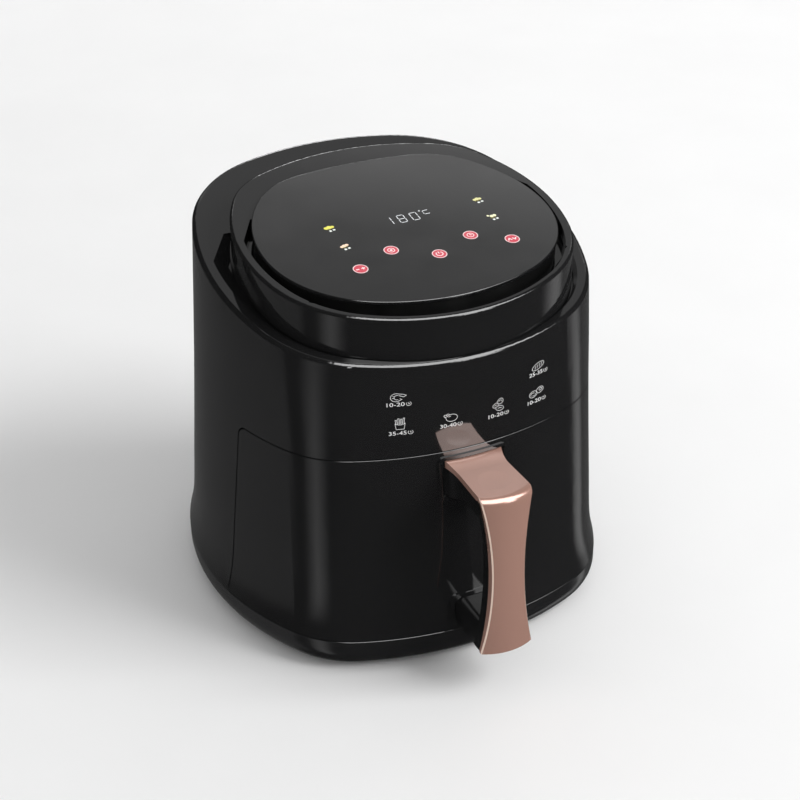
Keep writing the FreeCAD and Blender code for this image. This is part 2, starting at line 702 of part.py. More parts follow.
def element_path():
    """A flat two-turn spiral of half circles with both ends turned straight up."""
    z = ELEMENT_Z
    bend = 9.0
    top = LINER_TOP_Z + 14.0
    s = 0.7071
    turns = [(0.0, 86.0, -1), (-6.0, 80.0, 1), (6.0, 68.0, -1), (0.0, 62.0, 1)]
    edges = [
        Part.LineSegment(V(bend, 86, top), V(bend, 86, z + bend)).toShape(),
        Part.Arc(V(bend, 86, z + bend), V(bend * s, 86, z + bend - bend * s), V(0, 86, z)).toShape(),
    ]
    for centre_y, r, side in turns:
        begin = V(0, centre_y - side * r, z)
        end = V(0, centre_y + side * r, z)
        edges.append(Part.Arc(begin, V(side * r, centre_y, z), end).toShape())
    edges += [
        Part.Arc(V(0, 62, z), V(-bend * s, 62, z + bend - bend * s), V(-bend, 62, z + bend)).toShape(),
        Part.LineSegment(V(-bend, 62, z + bend), V(-bend, 62, top)).toShape(),
    ]
    return Part.Wire(edges)


def heating_element():
    path = element_path()
    ring = Part.Wire(Part.makeCircle(ELEMENT_R, V(9.0, 86, LINER_TOP_Z + 14.0), V(0, 0, -1)))
    return path.makePipeShell([ring], True, True)


def element_seals():
    """Ceramic collars where the element's ends pass the chamber roof."""
    seals = []
    for x, y in PIN_PLACES:
        neck = rod(5.2, LINER_TOP_Z - 4, LINER_TOP_Z + 6, x, y)
        collar = rod(7.5, LINER_TOP_Z - 4, LINER_TOP_Z - LINER_SHEET, x, y)
        seals.append(neck.fuse(collar).cut(rod(ELEMENT_R, 190, 240, x, y)))
    return seals


def element_brackets():
    parts = []
    roof = LINER_TOP_Z - LINER_SHEET
    low = ELEMENT_Z - ELEMENT_R
    for angle in (200.0, 270.0, 340.0):
        foot = box(54, 97, -4, 4, low - 1.2, low)
        leg = box(95.8, 97, -4, 4, low - 1.2, roof)
        tab = box(85, 97, -4, 4, roof - 1.2, roof)
        clip = fuse([foot, leg, tab])
        clip.rotate(V(0, 0, 0), V(0, 0, 1), angle)
        parts.append(clip)
    return parts


def blade_ring(count, r0, r1, z0, z1, thickness, lean):
    blades = []
    for k in range(count):
        blade = box(r0, r1, -thickness / 2, thickness / 2, z0, z1)
        blade.rotate(V(r0, 0, 0), V(0, 0, 1), lean)
        blade.rotate(V(0, 0, 0), V(0, 0, 1), 360.0 * k / count)
        blades.append(blade)
    return blades


def convection_fan():
    disc = rod(52.0, 200.2, 201.2)
    hub = rod(9.0, 192.0, 200.2)
    fan = fuse([disc, hub] + blade_ring(9, 16.0, 51.0, 188.0, 200.2, 1.0, 16.0))
    return fan.cut(rod(SHAFT_R, 180, 210))


def cooling_fan():
    disc = rod(26.0, 224.8, 226.0)
    hub = rod(8.0, 217.0, 224.8)
    fan = fuse([disc, hub] + blade_ring(8, 7.0, 25.5, 216.0, 224.8, 1.2, 14.0))
    return fan.cut(rod(SHAFT_R, 210, 240))


def motor_shaft():
    return rod(SHAFT_R, 191.0, 263.0).fuse(rod(3.0, 183.0, 191.0))


def fan_nut():
    return hexagon(10.0, 185.0, 191.0).cut(rod(3.0, 180, 195))


def motor_rotor():
    core = rod(17.0, MOTOR_Z - 1.0, MOTOR_Z + MOTOR_STACK + 1.0)
    grooves = []
    for k in range(12):
        angle = math.radians(30 * k)
        grooves.append(rod(0.9, 200, 300, 17.0 * math.cos(angle), 17.0 * math.sin(angle)))
    return core.cut(Part.makeCompound(grooves)).cut(rod(SHAFT_R, 200, 300))


def motor_stator():
    z0, z1 = MOTOR_Z, MOTOR_Z + MOTOR_STACK
    stack = box(-38, 38, -26, 46, z0, z1).cut(rod(17.6, z0, z1))
    stack = stack.cut(box(-28, 28, 22, 32, z0, z1))
    for x in (-STUD_X, STUD_X):
        stack = stack.cut(rod(STUD_R, z0, z1, x, 0))
    return stack


def motor_coil():
    z0, z1 = MOTOR_Z, MOTOR_Z + MOTOR_STACK
    outer = box(-22, 22, 25, 53, z0 - 7, z1 + 7)
    lengthwise = [e for e in outer.Edges if abs(e.Vertexes[0].X - e.Vertexes[-1].X) > 1]
    outer = outer.makeFillet(5.0, lengthwise)
    return outer.cut(box(-22, 22, 32, 46, z0, z1))


def motor_brackets():
    parts = []
    stack_top = MOTOR_Z + MOTOR_STACK
    for z, seat, sign in ((MOTOR_Z, MOTOR_Z - 6, -1), (stack_top, stack_top + 4, 1)):
        far = seat + sign * 2.0
        bridge = box(-38, 38, -8, 8, min(seat, far), max(seat, far))
        legs = [box(x - 5, x + 5, -8, 8, min(z, seat), max(z, seat)) for x in (-STUD_X, STUD_X)]
        boss = rod(9.0, min(seat - sign, far + sign), max(seat - sign, far + sign))
        bracket = fuse([bridge, boss] + legs).cut(rod(7.0, 200, 300))
        for x in (-STUD_X, STUD_X):
            bracket = bracket.cut(rod(STUD_R, 200, 300, x, 0))
        parts.append(bracket)
    return parts


def motor_bearings():
    low = MOTOR_Z - 9
    high = MOTOR_Z + MOTOR_STACK + 3
    return [tube(7.0, SHAFT_R + 0.05, z, z + 4.0) for z in (low, high)]


def motor_studs():
    """Long studs with their nuts, from under the chamber roof to over the motor."""
    parts = []
    for x in (-STUD_X, STUD_X):
        head = rod(4.5, LINER_TOP_Z - LINER_SHEET - 2.0, LINER_TOP_Z - LINER_SHEET, x, 0)
        stud = rod(STUD_R, LINER_TOP_Z - LINER_SHEET, 263.5, x, 0)
        nut = hexagon(7.0, MOTOR_Z + MOTOR_STACK + 6.0, MOTOR_Z + MOTOR_STACK + 9.0, x, 0)
        parts.append(fuse([head, stud, nut]))
    return parts


def motor_standoffs():
    low = SHIELD_Z + SHIELD
    return [tube(4.5, STUD_R, low, MOTOR_Z - 8.0, x, 0) for x in (-STUD_X, STUD_X)]


def heat_shield():
    plate = liner_prism(SHIELD_Z, SHIELD_Z + SHIELD, 5.0)
    plate = plate.cut(rod(11.0, 200, 230))
    for x, y in PIN_PLACES:
        plate = plate.cut(rod(6.4, 200, 230, x, y))
    plate = plate.cut(rod(3.4, 200, 230, *PROBE_PLACE))
    for x in (-STUD_X, STUD_X):
        plate = plate.cut(rod(STUD_R, 200, 230, x, 0))
    return plate


def temperature_probe():
    x, y = PROBE_PLACE
    tip = rod(2.4, 196.0, 222.0, x, y)
    flange = rod(6.0, SHIELD_Z + SHIELD, SHIELD_Z + SHIELD + 1.5, x, y)
    return tip.fuse(flange)


def thermal_fuse():
    base = SHIELD_Z + SHIELD
    bracket = box(-72, -52, 52, 62, base, base + 1.0)
    body = rod_x(3.0, -70, -54, 57, base + 4.0)
    return bracket.fuse(body)


# ---- electrical parts ------------------------------------------------------------------
BOARD_Z = 224.0
BOARD = 1.6
BOARD_POSTS = [(56.0, -44.0), (100.0, -44.0), (56.0, 28.0), (100.0, 28.0)]


def power_board():
    board = box(50, 106, -50, 34, BOARD_Z, BOARD_Z + BOARD)
    for x, y in BOARD_POSTS:
        board = board.cut(rod(1.6, 200, 240, x, y))
    return board


def board_standoffs():
    low = SHIELD_Z + SHIELD
    posts = []
    for x, y in BOARD_POSTS:
        post = rod(3.5, low, BOARD_Z, x, y).fuse(rod(1.6, BOARD_Z, BOARD_Z + BOARD, x, y))
        posts.append(post.fuse(rod(2.8, BOARD_Z + BOARD, BOARD_Z + BOARD + 1.5, x, y)))
    return posts


def board_components():
    top = BOARD_Z + BOARD
    relay = box(60, 79, -36, -21, top, top + 15)
    transformer = box(62, 84, 2, 20, top, top + 14)
    film_capacitor = box(82, 94, -34, -18, top, top + 11)
    connector = box(88, 102, 6, 14, top, top + 8)
    return [relay, transformer, film_capacitor, connector]


def board_capacitor():
    top = BOARD_Z + BOARD
    return [round_edges(rod(5.0, top, top + 17, 88, -6), 0.8,
                        lambda e: e.CenterOfMass.z > top + 16 and e.Length > 20)]


def on_panel(shape, drop):
    """A flat shape made over Z = 0, laid under the touch panel."""
    turned = shape.copy()
    turned.rotate(V(0, 0, 0), V(1, 0, 0), math.degrees(math.atan(PANEL_PLANE[1])))
    turned.translate(V(0, 0, PANEL_PLANE[0] - drop))
    return turned


KEY_PLACES = [(-49.8, -65.2), (-22.1, -51.9), (5.6, -66.9), (34.9, -53.5), (58.8, -67.4)]
ICON_PLACES = [(-49.1, -13.9), (-48.8, -37.9), (60.6, -15.3), (60.0, -39.9)]
TOUCH_DROP = 9.0


def touch_board():
    board = rounded_box(-70, 74, -84, 16, 0, 1.4, 6.0)
    return on_panel(board, TOUCH_DROP)


def touch_springs():
    """One spring contact between the touch board and the panel under each key."""
    springs = []
    height = TOUCH_DROP - 1.4 - GLASS_THICKNESS - 1.0
    for x, y in KEY_PLACES + ICON_PLACES:
        ring = tube(3.4, 2.6, 1.4, 1.4 + height - 0.1, x, y)
        springs.append(on_panel(ring, TOUCH_DROP))
    return springs


def display_module():
    body = box(-12, 32, -32, -8, 1.4, 1.4 + 4.2)
    return on_panel(body, TOUCH_DROP)


def buzzer():
    can = tube(6.0, 1.0, -6.0, 0.0, -40, -50).fuse(rod(6.0, -6.0, -4.0, -40, -50))
    return on_panel(can, TOUCH_DROP)


def board_clips():
    """Posts that hold the touch board under the tray."""
    clips = []
    for x, y in ((-66, -30), (70, -30), (0, 12), (-30, -80), (34, -80)):
        clips.append(on_panel(rod(2.0, 1.4, TOUCH_DROP - GLASS_THICKNESS - 1.05, x, y), TOUCH_DROP))
    return clips


def panel_ribbon():
    """The flat cable from the power board up to the touch board."""
    x0, x1 = 60.0, 72.0
    z_low = BOARD_Z + BOARD
    y_low = -14.0
    z_top = PANEL_PLANE[0] + PANEL_PLANE[1] * y_low - TOUCH_DROP - 0.1
    return box(x0, x1, y_low, y_low + 0.8, z_low, z_top)


def door_switch():
    """A small switch behind the bulkhead, with two ears for its lever's pin."""
    body = box(117.0, 124.0, -27.0, -17.0, 138.0, 158.0)
    ears = [box(x, x + 1.0, -31.4, -27.0, 138.5, 143.5) for x in (117.0, 123.0)]
    foot = box(LINER_HALF_WIDTH, 117.0, -26.0, -18.0, 144.0, 152.0)
    switch = body.multiFuse(ears + [foot])
    return switch.cut(rod_x(0.86, 116, 125, LEVER_Y, LEVER_Z))


LEVER_Y = -29.4
LEVER_Z = 141.0


def switch_lever():
    x0, x1 = 118.06, 122.94
    knuckle = rod_x(1.3, x0, x1, LEVER_Y, LEVER_Z)
    pin = rod_x(0.8, 117.0, 124.0, LEVER_Y, LEVER_Z)
    blade = box(x0, x1, LEVER_Y - 0.3, LEVER_Y + 0.3, LEVER_Z, 155.0)
    return fuse([knuckle, pin, blade])


def cord_inlet():
    """The cord's bush: a flange outside the back wall and a bored neck through it."""
    back_y = housing_outline(GLAND_Z).back
    flange = rod_y(10.0, back_y, back_y + 1.6, 0, GLAND_Z)
    flange = round_edges(flange, 0.9, lambda e: e.CenterOfMass.y > back_y + 1.5 and e.Length > 50)
    neck = rod_y(6.9, back_y - 18.0, back_y, 0, GLAND_Z)
    bush = flange.fuse(neck).cut(rod_y(4.0, 60, 200, 0, GLAND_Z))
    return bush.cut(HOUSING.cut(HOUSING_INNER).cut(rod_y(7.0, 100, 160, 0, GLAND_Z)))


# ---- drawer parts ----------------------------------------------------------------------
def drawer_front():
    skin = HOUSING.cut(housing_solid(DRAWER_SKIN))
    skin = skin.common(drawer_zone(DRAWER_GAP))
    skin = skin.cut(box(-200, 200, -200, 200, 0, SEAM_BASE_Z + DRAWER_GAP))
    top = SEAM_DRAWER_Z - DRAWER_GAP
    core = housing_solid(DRAWER_SKIN / 2)
    skin = round_edges(
        skin, 0.5,
        lambda e: abs(e.BoundBox.ZMin - top) < 0.05 and abs(e.BoundBox.ZMax - top) < 0.05
        and not core.isInside(e.valueAt((e.FirstParameter + e.LastParameter) / 2), 0.1, True)
        and e.Length > 5,
    )
    for x, z in HANDLE_SCREWS:
        skin = skin.cut(rod_y(2.1, -200, -100, x, z))
    return skin


HANDLE_SCREWS = [(-12.0, 142.0), (12.0, 142.0), (0.0, 40.0)]
DECK_Z = 161.8


def drawer_inner_cover():
    """The inner moulding of the drawer: deck round the pan, walls, and rear closures."""
    region = housing_solid(DRAWER_SKIN + 0.1).common(drawer_zone(DRAWER_GAP + 0.2))
    region = region.common(box(-200, 200, -200, 200, SEAM_BASE_Z + 1.2, DECK_Z))
    bigger = housing_solid(-6.0).common(drawer_zone(DRAWER_GAP + 2.4))
    hollow = bigger.common(box(-200, 200, -200, 200, SEAM_BASE_Z + 3.4, DECK_Z - 2.2))
    hollow = hollow.cut(pan_prism(0, 300, 2.6))
    hollow = hollow.cut(pan_prism(PAN_RIM_Z - 3.0, 300, PAN_FLANGE + 2.8))
    cover = region.cut(hollow)
    cover = cover.cut(pan_prism(0, 300, 0.2)).cut(pan_prism(PAN_RIM_Z, 300, PAN_FLANGE + 0.6))
    for x in PAN_SCREW_X:
        cover = cover.cut(rod_y(2.1, -140, -100, x, PAN_SCREW_Z))
    rib = box(119.0, 122.0, -46.0, LEVER_Y - 0.7, 149.5, 155.5)
    return cover.fuse(rib)


PAN_SCREW_X = (-36.0, 36.0)
PAN_SCREW_Z = 104.0


def pan():
    outer = pan_prism(PAN_FLOOR_Z, PAN_RIM_Z)
    outer = outer.makeFillet(12.0, [e for e in outer.Edges if e.CenterOfMass.z < PAN_FLOOR_Z + 0.1])
    inner = pan_prism(PAN_FLOOR_Z + PAN_SHEET, PAN_RIM_Z + PAN_SHEET + 1, -PAN_SHEET)
    floor = PAN_FLOOR_Z + PAN_SHEET
    inner = inner.makeFillet(10.8, [e for e in inner.Edges if e.CenterOfMass.z < floor + 0.1])
    flange = pan_prism(PAN_RIM_Z, PAN_RIM_Z + PAN_SHEET, PAN_FLANGE)
    tub = outer.fuse(flange).cut(inner)
    ribs = [rounded_box(-70, 70, y - 3, y + 3, floor, floor + 1.6, 2.9)
            for y in (-62, -31, 0, 31, 62)]
    tub = tub.multiFuse(ribs)
    for x in PAN_SCREW_X:
        tub = tub.cut(rod_y(2.1, -140, -100, x, PAN_SCREW_Z))
    return tub


def pan_screws():
    length = 4.2
    shape = screw(2.1, 4.2, length, 2.0)
    y = PAN_FRONT_Y + PAN_SHEET - length
    return [placed(shape, (x, y, PAN_SCREW_Z), (0, 1, 0)) for x in PAN_SCREW_X]


def crisper_plate():
    w = PAN_HALF_WIDTH - PAN_SHEET - 4.5
    y0 = PAN_FRONT_Y + PAN_SHEET + 4.5
    y1 = PAN_BACK_Y - PAN_SHEET - 4.5
    middle = (y0 + y1) / 2
    pitch = 15.5
    plate = rounded_box(-w, w, y0, y1, PLATE_Z, PLATE_Z + 1.5, 46.0)
    slot = rounded_box(-4.6, 4.6, -2.6, 2.6, PLATE_Z - 1, PLATE_Z + 3, 2.5)
    holes = []
    for row in range(-5, 6):
        for column in range(-5, 6):
            if math.hypot(column, row) * pitch < 92 and (row, column) != (0, 0):
                holes.append(slot.translated(V(column * pitch, middle + row * pitch, 0)))
    return plate.cut(Part.makeCompound(holes))


BUMPER_PLACES = [(0.0, 1.0), (0.0, -1.0), (1.0, 0.0), (-1.0, 0.0)]


def crisper_bumpers():
    """Silicone shoes clipped over the plate's edge in the middle of each side."""
    w = PAN_HALF_WIDTH - PAN_SHEET - 4.5
    y0 = PAN_FRONT_Y + PAN_SHEET + 4.5
    y1 = PAN_BACK_Y - PAN_SHEET - 4.5
    middle = (y0 + y1) / 2
    half_depth = (y1 - y0) / 2
    plate = box(-w, w, y0, y1, PLATE_Z, PLATE_Z + 1.5)
    shoes = []
    for sx, sy in BUMPER_PLACES:
        x = sx * w
        y = middle + sy * half_depth
        long_x = 4.0 if sx else 11.0
        long_y = 4.0 if sy else 11.0
        shoe = rounded_box(
            x - long_x, x + long_x, y - long_y, y + long_y, BUMPER_Z, BUMPER_Z + 5.5, 2.0
        )
        shoes.append(shoe.cut(plate))
    return shoes


# ---- handle ----------------------------------------------------------------------------
def crown_y(z):
    """The foremost line of the handle's front plate."""
    t = (HANDLE_TOP_Z - z) / (HANDLE_TOP_Z - HANDLE_BOTTOM_Z)
    return CROWN_TOP_Y + t * (CROWN_BOTTOM_Y - CROWN_TOP_Y)


def crown_cylinder():
    """The tilted cylinder whose front is the handle's crowned front plate."""
    low, high = HANDLE_BOTTOM_Z - 40, HANDLE_TOP_Z + 40
    foot = V(0, crown_y(low) + CROWN_R, low)
    top = V(0, crown_y(high) + CROWN_R, high)
    axis = top - foot
    return Part.makeCylinder(CROWN_R, axis.Length, foot, axis)


def front_view_prism(shrink=0.0):
    """The waisted shape of the grip seen from the front."""
    top, waist, bottom = (w - shrink for w in GRIP_HALF_WIDTHS)
    z0, z1, z2 = HANDLE_BOTTOM_Z, HANDLE_TOP_Z - 1.5, HANDLE_TOP_Z + 6.0
    y = -200.0
    right = Part.Arc(V(bottom, y, z0), V(waist, y, WAIST_Z), V(top, y, z1)).toShape()
    left = Part.Arc(V(-top, y, z1), V(-waist, y, WAIST_Z), V(-bottom, y, z0)).toShape()
    over = [V(top, y, z1), V(top, y, z2), V(-top, y, z2), V(-top, y, z1)]
    head = [Part.LineSegment(a, b).toShape() for a, b in zip(over, over[1:])]
    foot = Part.LineSegment(V(-bottom, y, z0), V(bottom, y, z0)).toShape()
    wire = Part.Wire([right] + head + [left, foot])
    return Part.Face(wire).extrude(V(0, 100, 0))


def plan_prism(shrink=0.0):
    """The top arm's shape seen from above: flared at its root, then nearly straight."""
    arm = ARM_HALF_WIDTH - shrink
    root = ROOT_HALF_WIDTH - shrink
    y_root, y_turn, y_front = -120.0, -147.0, -200.0
    z = 20.0
    y_mid = -136.0
    right = [
        Part.LineSegment(V(arm + 1.6, y_front, z), V(arm, y_turn, z)).toShape(),
        Part.Arc(V(arm, y_turn, z), V(arm + 1.35, y_mid, z), V(root + 4.0, y_root, z)).toShape(),
    ]
    top = Part.LineSegment(V(root + 4.0, y_root, z), V(-root - 4.0, y_root, z)).toShape()
    left = [
        Part.Arc(V(-root - 4.0, y_root, z), V(-arm - 1.35, y_mid, z), V(-arm, y_turn, z)).toShape(),
        Part.LineSegment(V(-arm, y_turn, z), V(-arm - 1.6, y_front, z)).toShape(),
    ]
    close = Part.LineSegment(V(-arm - 1.6, y_front, z), V(arm + 1.6, y_front, z)).toShape()
    return Part.Face(Part.Wire(right + [top] + left + [close])).extrude(V(0, 0, 160))


def handle_envelope():
    """The outer form of the whole handle before it is split into cover and grip."""
    y0 = HANDLE_ROOT_Y
    back = crown_y(HANDLE_TOP_Z) + COVER_DEPTH + GRIP_DEPTH
    root_top = HANDLE_TOP_Z + 2.6
    flat_end = V(0, -145, HANDLE_TOP_Z)
    rise = V(0, -137.5, HANDLE_TOP_Z + 0.75)
    top_edges = [
        Part.LineSegment(V(0, -205, HANDLE_TOP_Z), flat_end).toShape(),
        Part.Arc(flat_end, rise, V(0, y0, root_top + 0.6)).toShape(),
    ]
    down = Part.LineSegment(V(0, y0, root_top + 0.6), V(0, y0, 10)).toShape()
    low = Part.LineSegment(V(0, y0, 10), V(0, -205, 10)).toShape()
    close = Part.LineSegment(V(0, -205, 10), V(0, -205, HANDLE_TOP_Z)).toShape()
    face = Part.Face(Part.Wire(top_edges + [down, low, close]))
    face.translate(V(-40, 0, 0))
    block = face.extrude(V(80, 0, 0))
    front = box(-60, 60, back - 8, -100, 0, 300).fuse(crown_cylinder())
    block = block.common(front)
    edges = [e for e in block.Edges
             if abs(e.CenterOfMass.z - HANDLE_TOP_Z) < 0.1 and e.CenterOfMass.y < -170 and e.Length > 20]
    return block.makeFillet(CORNER_ROUND, edges)


def behind_cover(depth=0.0):
    """The space behind the front plate and under the top plate of the cover."""
    z1 = HANDLE_TOP_Z - COVER_TOP - depth
    y1 = crown_y(z1) + COVER_DEPTH + depth
    y0 = crown_y(0.0) + COVER_DEPTH + depth
    roof = [(y1, z1), (-146.0, z1), (-138.0, z1 + 0.6), (-100.0, z1 + 4.0)]
    return profile_x(roof + [(-100.0, 0.0), (y0, 0.0)], 60.0)


def handle_cover():
    shape = handle_envelope().common(plan_prism())
    column_side = front_view_prism()
    shape = shape.common(column_side.fuse(box(-60, 60, -172.0, -100, 0, 300)))
    side_edges = [
        e for e in shape.Edges
        if e.Length > 80 and e.CenterOfMass.y < crown_y(e.CenterOfMass.z) + 5.0
        and abs(e.CenterOfMass.x) > 10
    ]
    shape = shape.makeChamfer(EDGE_BEVEL, side_edges)
    return shape.cut(behind_cover()).cut(HOUSING).cut(DIMPLE)


DIMPLE = Part.makeSphere(150.0, V(0, -161.0, HANDLE_TOP_Z + 149.6))


def grip_column():
    """The upright hand hold with a rounded back."""
    z0, z1 = HANDLE_BOTTOM_Z + 0.6, HANDLE_TOP_Z - COVER_TOP
    near = COVER_DEPTH
    far = COVER_DEPTH + GRIP_DEPTH
    front = [(crown_y(z0) + near, z0), (crown_y(z1) + near, z1)]
    back = [(crown_y(z1) + far, z1), (crown_y(z0) + far, z0)]
    column = profile_x(front + back, 40.0).common(front_view_prism(0.5))
    back_edges = [
        e for e in column.Edges
        if e.CenterOfMass.y > crown_y(e.CenterOfMass.z) + far - 0.8
        and abs(e.CenterOfMass.x) > 8 and e.Length > 60
    ]
    return column.makeFillet(5.0, back_edges)


def upper_arm():
    """The arm under the top plate, deep at the drawer and slim at the corner."""
    z1 = HANDLE_TOP_Z - COVER_TOP
    edges = [
        Part.LineSegment(V(0, -176.0, z1), V(0, -120.0, z1)).toShape(),
        Part.LineSegment(V(0, -120.0, z1), V(0, -120.0, 130.5)).toShape(),
        Part.LineSegment(V(0, -120.0, 130.5), V(0, -138.0, 130.5)).toShape(),
        Part.Arc(V(0, -138.0, 130.5), V(0, -151.0, 136.8), V(0, -166.0, 139.0)).toShape(),
        Part.LineSegment(V(0, -166.0, 139.0), V(0, -176.0, 139.0)).toShape(),
        Part.LineSegment(V(0, -176.0, 139.0), V(0, -176.0, z1)).toShape(),
    ]
    face = Part.Face(Part.Wire(edges))
    face.translate(V(-40, 0, 0))
    arm = face.extrude(V(80, 0, 0)).common(plan_prism(0.5))
    top = profile_x([(-146.0, z1), (-138.0, z1 + 0.6), (-100.0, z1 + 4.0), (-100.0, z1)], 60.0)
    arm = arm.common(rounded_frame(22.3, 130.5, 180.0, 7.0))
    return arm.fuse(top.common(plan_prism(0.5)))


def lower_arm():
    z0, z1 = LOWER_ARM_Z
    w = LOWER_ARM_HALF_WIDTH
    block = box(-w, w, -176.0, -120.0, z0 + 1.0, z1)
    lengthwise = [e for e in block.Edges
                  if abs(e.Vertexes[0].Y - e.Vertexes[-1].Y) > 10 and e.CenterOfMass.z > z1 - 1]
    return block.makeFillet(8.0, lengthwise)


def handle_grip():
    grip = fuse([grip_column(), upper_arm(), lower_arm()])
    cover_back = [(crown_y(0.0) + COVER_DEPTH, 0.0), (crown_y(200.0) + COVER_DEPTH, 200.0)]
    ahead = profile_x(cover_back + [(-230.0, 200.0), (-230.0, 0.0)], 60.0)
    grip = grip.cut(ahead).cut(HOUSING)
    for x, z in HANDLE_SCREWS:
        grip = grip.cut(rod_y(2.1, -164.0, -100.0, x, z))
    return grip


def handle_screws():
    parts = []
    for x, z in HANDLE_SCREWS:
        outline = inset(housing_outline(z), DRAWER_SKIN)
        head_y = -outline.front + 0.5
        parts.append(placed(screw(2.1, 4.0, 22.0, 2.2), (x, head_y - 22.0, z), (0, 1, 0)))
    inner = housing_solid(DRAWER_SKIN)
    skin = HOUSING.cut(inner)
    for x, z in HANDLE_SCREWS:
        skin = skin.cut(rod_y(2.1, -200, -100, x, z))
    return [p.cut(skin) for p in parts]


def handle_bezels():
    """Thin frames on the drawer's face round the roots of both arms."""
    skin = housing_solid(-1.1).cut(HOUSING)
    upper = rounded_frame(25.5, 127.5, 159.6, 4.0)
    lower = rounded_frame(19.5, 28.2, 52.0, 6.0)
    frames = [skin.common(f) for f in (upper, lower)]
    arm_hole = box(-22.6, 22.6, -200, -100, 130.2, 157.4)
    low_hole = box(-16.3, 16.3, -200, -100, 31.7, 49.3)
    return [frames[0].cut(arm_hole), frames[1].cut(low_hole)]


def rounded_frame(half_width, z0, z1, r):
    b = box(-half_width, half_width, -200, -100, z0, z1)
    lengthwise = [e for e in b.Edges if abs(e.Vertexes[0].Y - e.Vertexes[-1].Y) > 10]
    return b.makeFillet(r, lengthwise)


# ---- everything ------------------------------------------------------------------------
def object_middle_y():
    """The middle of the whole object from front to back, in the housing's own frame."""
    return (CROWN_BOTTOM_Y + housing_outline(SEAM_BASE_Z).back) / 2


NODES = {
    "outer_shell": outer_shell,
    "rear_air_grille": rear_air_grille,
    "top_collar": top_collar,
    "collar_screws": collar_screws,
    "panel_tray": panel_tray,
    "control_panel_glass": control_panel_glass,
    "base_tray": base_tray,
    "bottom_plate": bottom_plate,
    "rubber_feet": rubber_feet,
    "base_screws": base_screws,
    "front_bulkhead": front_bulkhead,
    "chamber_liner": chamber_liner,
    "exhaust_duct": exhaust_duct,
    "chamber_gasket": chamber_gasket,
    "drawer_rails": drawer_rails,
    "element_guard": element_guard,
    "heating_element": heating_element,
    "element_seals": element_seals,
    "element_brackets": element_brackets,
    "convection_fan": convection_fan,
    "cooling_fan": cooling_fan,
    "motor_shaft": motor_shaft,
    "fan_nut": fan_nut,
    "motor_rotor": motor_rotor,
    "motor_stator": motor_stator,
    "motor_coil": motor_coil,
    "motor_brackets": motor_brackets,
    "motor_bearings": motor_bearings,
    "motor_studs": motor_studs,
    "motor_standoffs": motor_standoffs,
    "heat_shield": heat_shield,
    "temperature_probe": temperature_probe,
    "thermal_fuse": thermal_fuse,
    "power_board": power_board,
    "board_standoffs": board_standoffs,
    "board_components": board_components,
    "board_capacitor": board_capacitor,
    "touch_board": touch_board,
    "touch_springs": touch_springs,
    "display_module": display_module,
    "buzzer": buzzer,
    "board_clips": board_clips,
    "panel_ribbon": panel_ribbon,
    "door_switch": door_switch,
    "switch_lever": switch_lever,
    "cord_inlet": cord_inlet,
    "drawer_front": drawer_front,
    "drawer_inner_cover": drawer_inner_cover,
    "pan": pan,
    "pan_screws": pan_screws,
    "crisper_plate": crisper_plate,
    "crisper_bumpers": crisper_bumpers,
    "handle_cover": handle_cover,
    "handle_grip": handle_grip,
    "handle_screws": handle_screws,
    "handle_bezels": handle_bezels,
}

for node, make in NODES.items():
    save(node, make())
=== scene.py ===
import json
import math

import bmesh
import bpy
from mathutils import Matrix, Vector
from mathutils.bvhtree import BVHTree


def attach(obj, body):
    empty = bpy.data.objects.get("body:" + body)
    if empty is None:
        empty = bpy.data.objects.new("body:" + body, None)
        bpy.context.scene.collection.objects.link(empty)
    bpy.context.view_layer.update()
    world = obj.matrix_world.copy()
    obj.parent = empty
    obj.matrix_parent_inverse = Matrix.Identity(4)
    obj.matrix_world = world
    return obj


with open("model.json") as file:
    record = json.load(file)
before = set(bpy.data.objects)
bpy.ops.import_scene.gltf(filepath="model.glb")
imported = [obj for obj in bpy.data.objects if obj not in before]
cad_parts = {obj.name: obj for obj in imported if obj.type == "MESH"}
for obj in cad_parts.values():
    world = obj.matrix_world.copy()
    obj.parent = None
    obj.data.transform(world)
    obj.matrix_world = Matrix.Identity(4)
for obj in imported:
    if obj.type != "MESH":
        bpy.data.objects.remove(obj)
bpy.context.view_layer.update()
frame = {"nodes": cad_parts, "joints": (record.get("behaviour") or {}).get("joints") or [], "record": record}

MM = 0.001
# The middle of the housing, front to back: the fans turn on the housing's own axis.
HOUSING_Y = {j["name"]: j for j in frame["joints"]}["fan_spin"]["pos_m"][1]


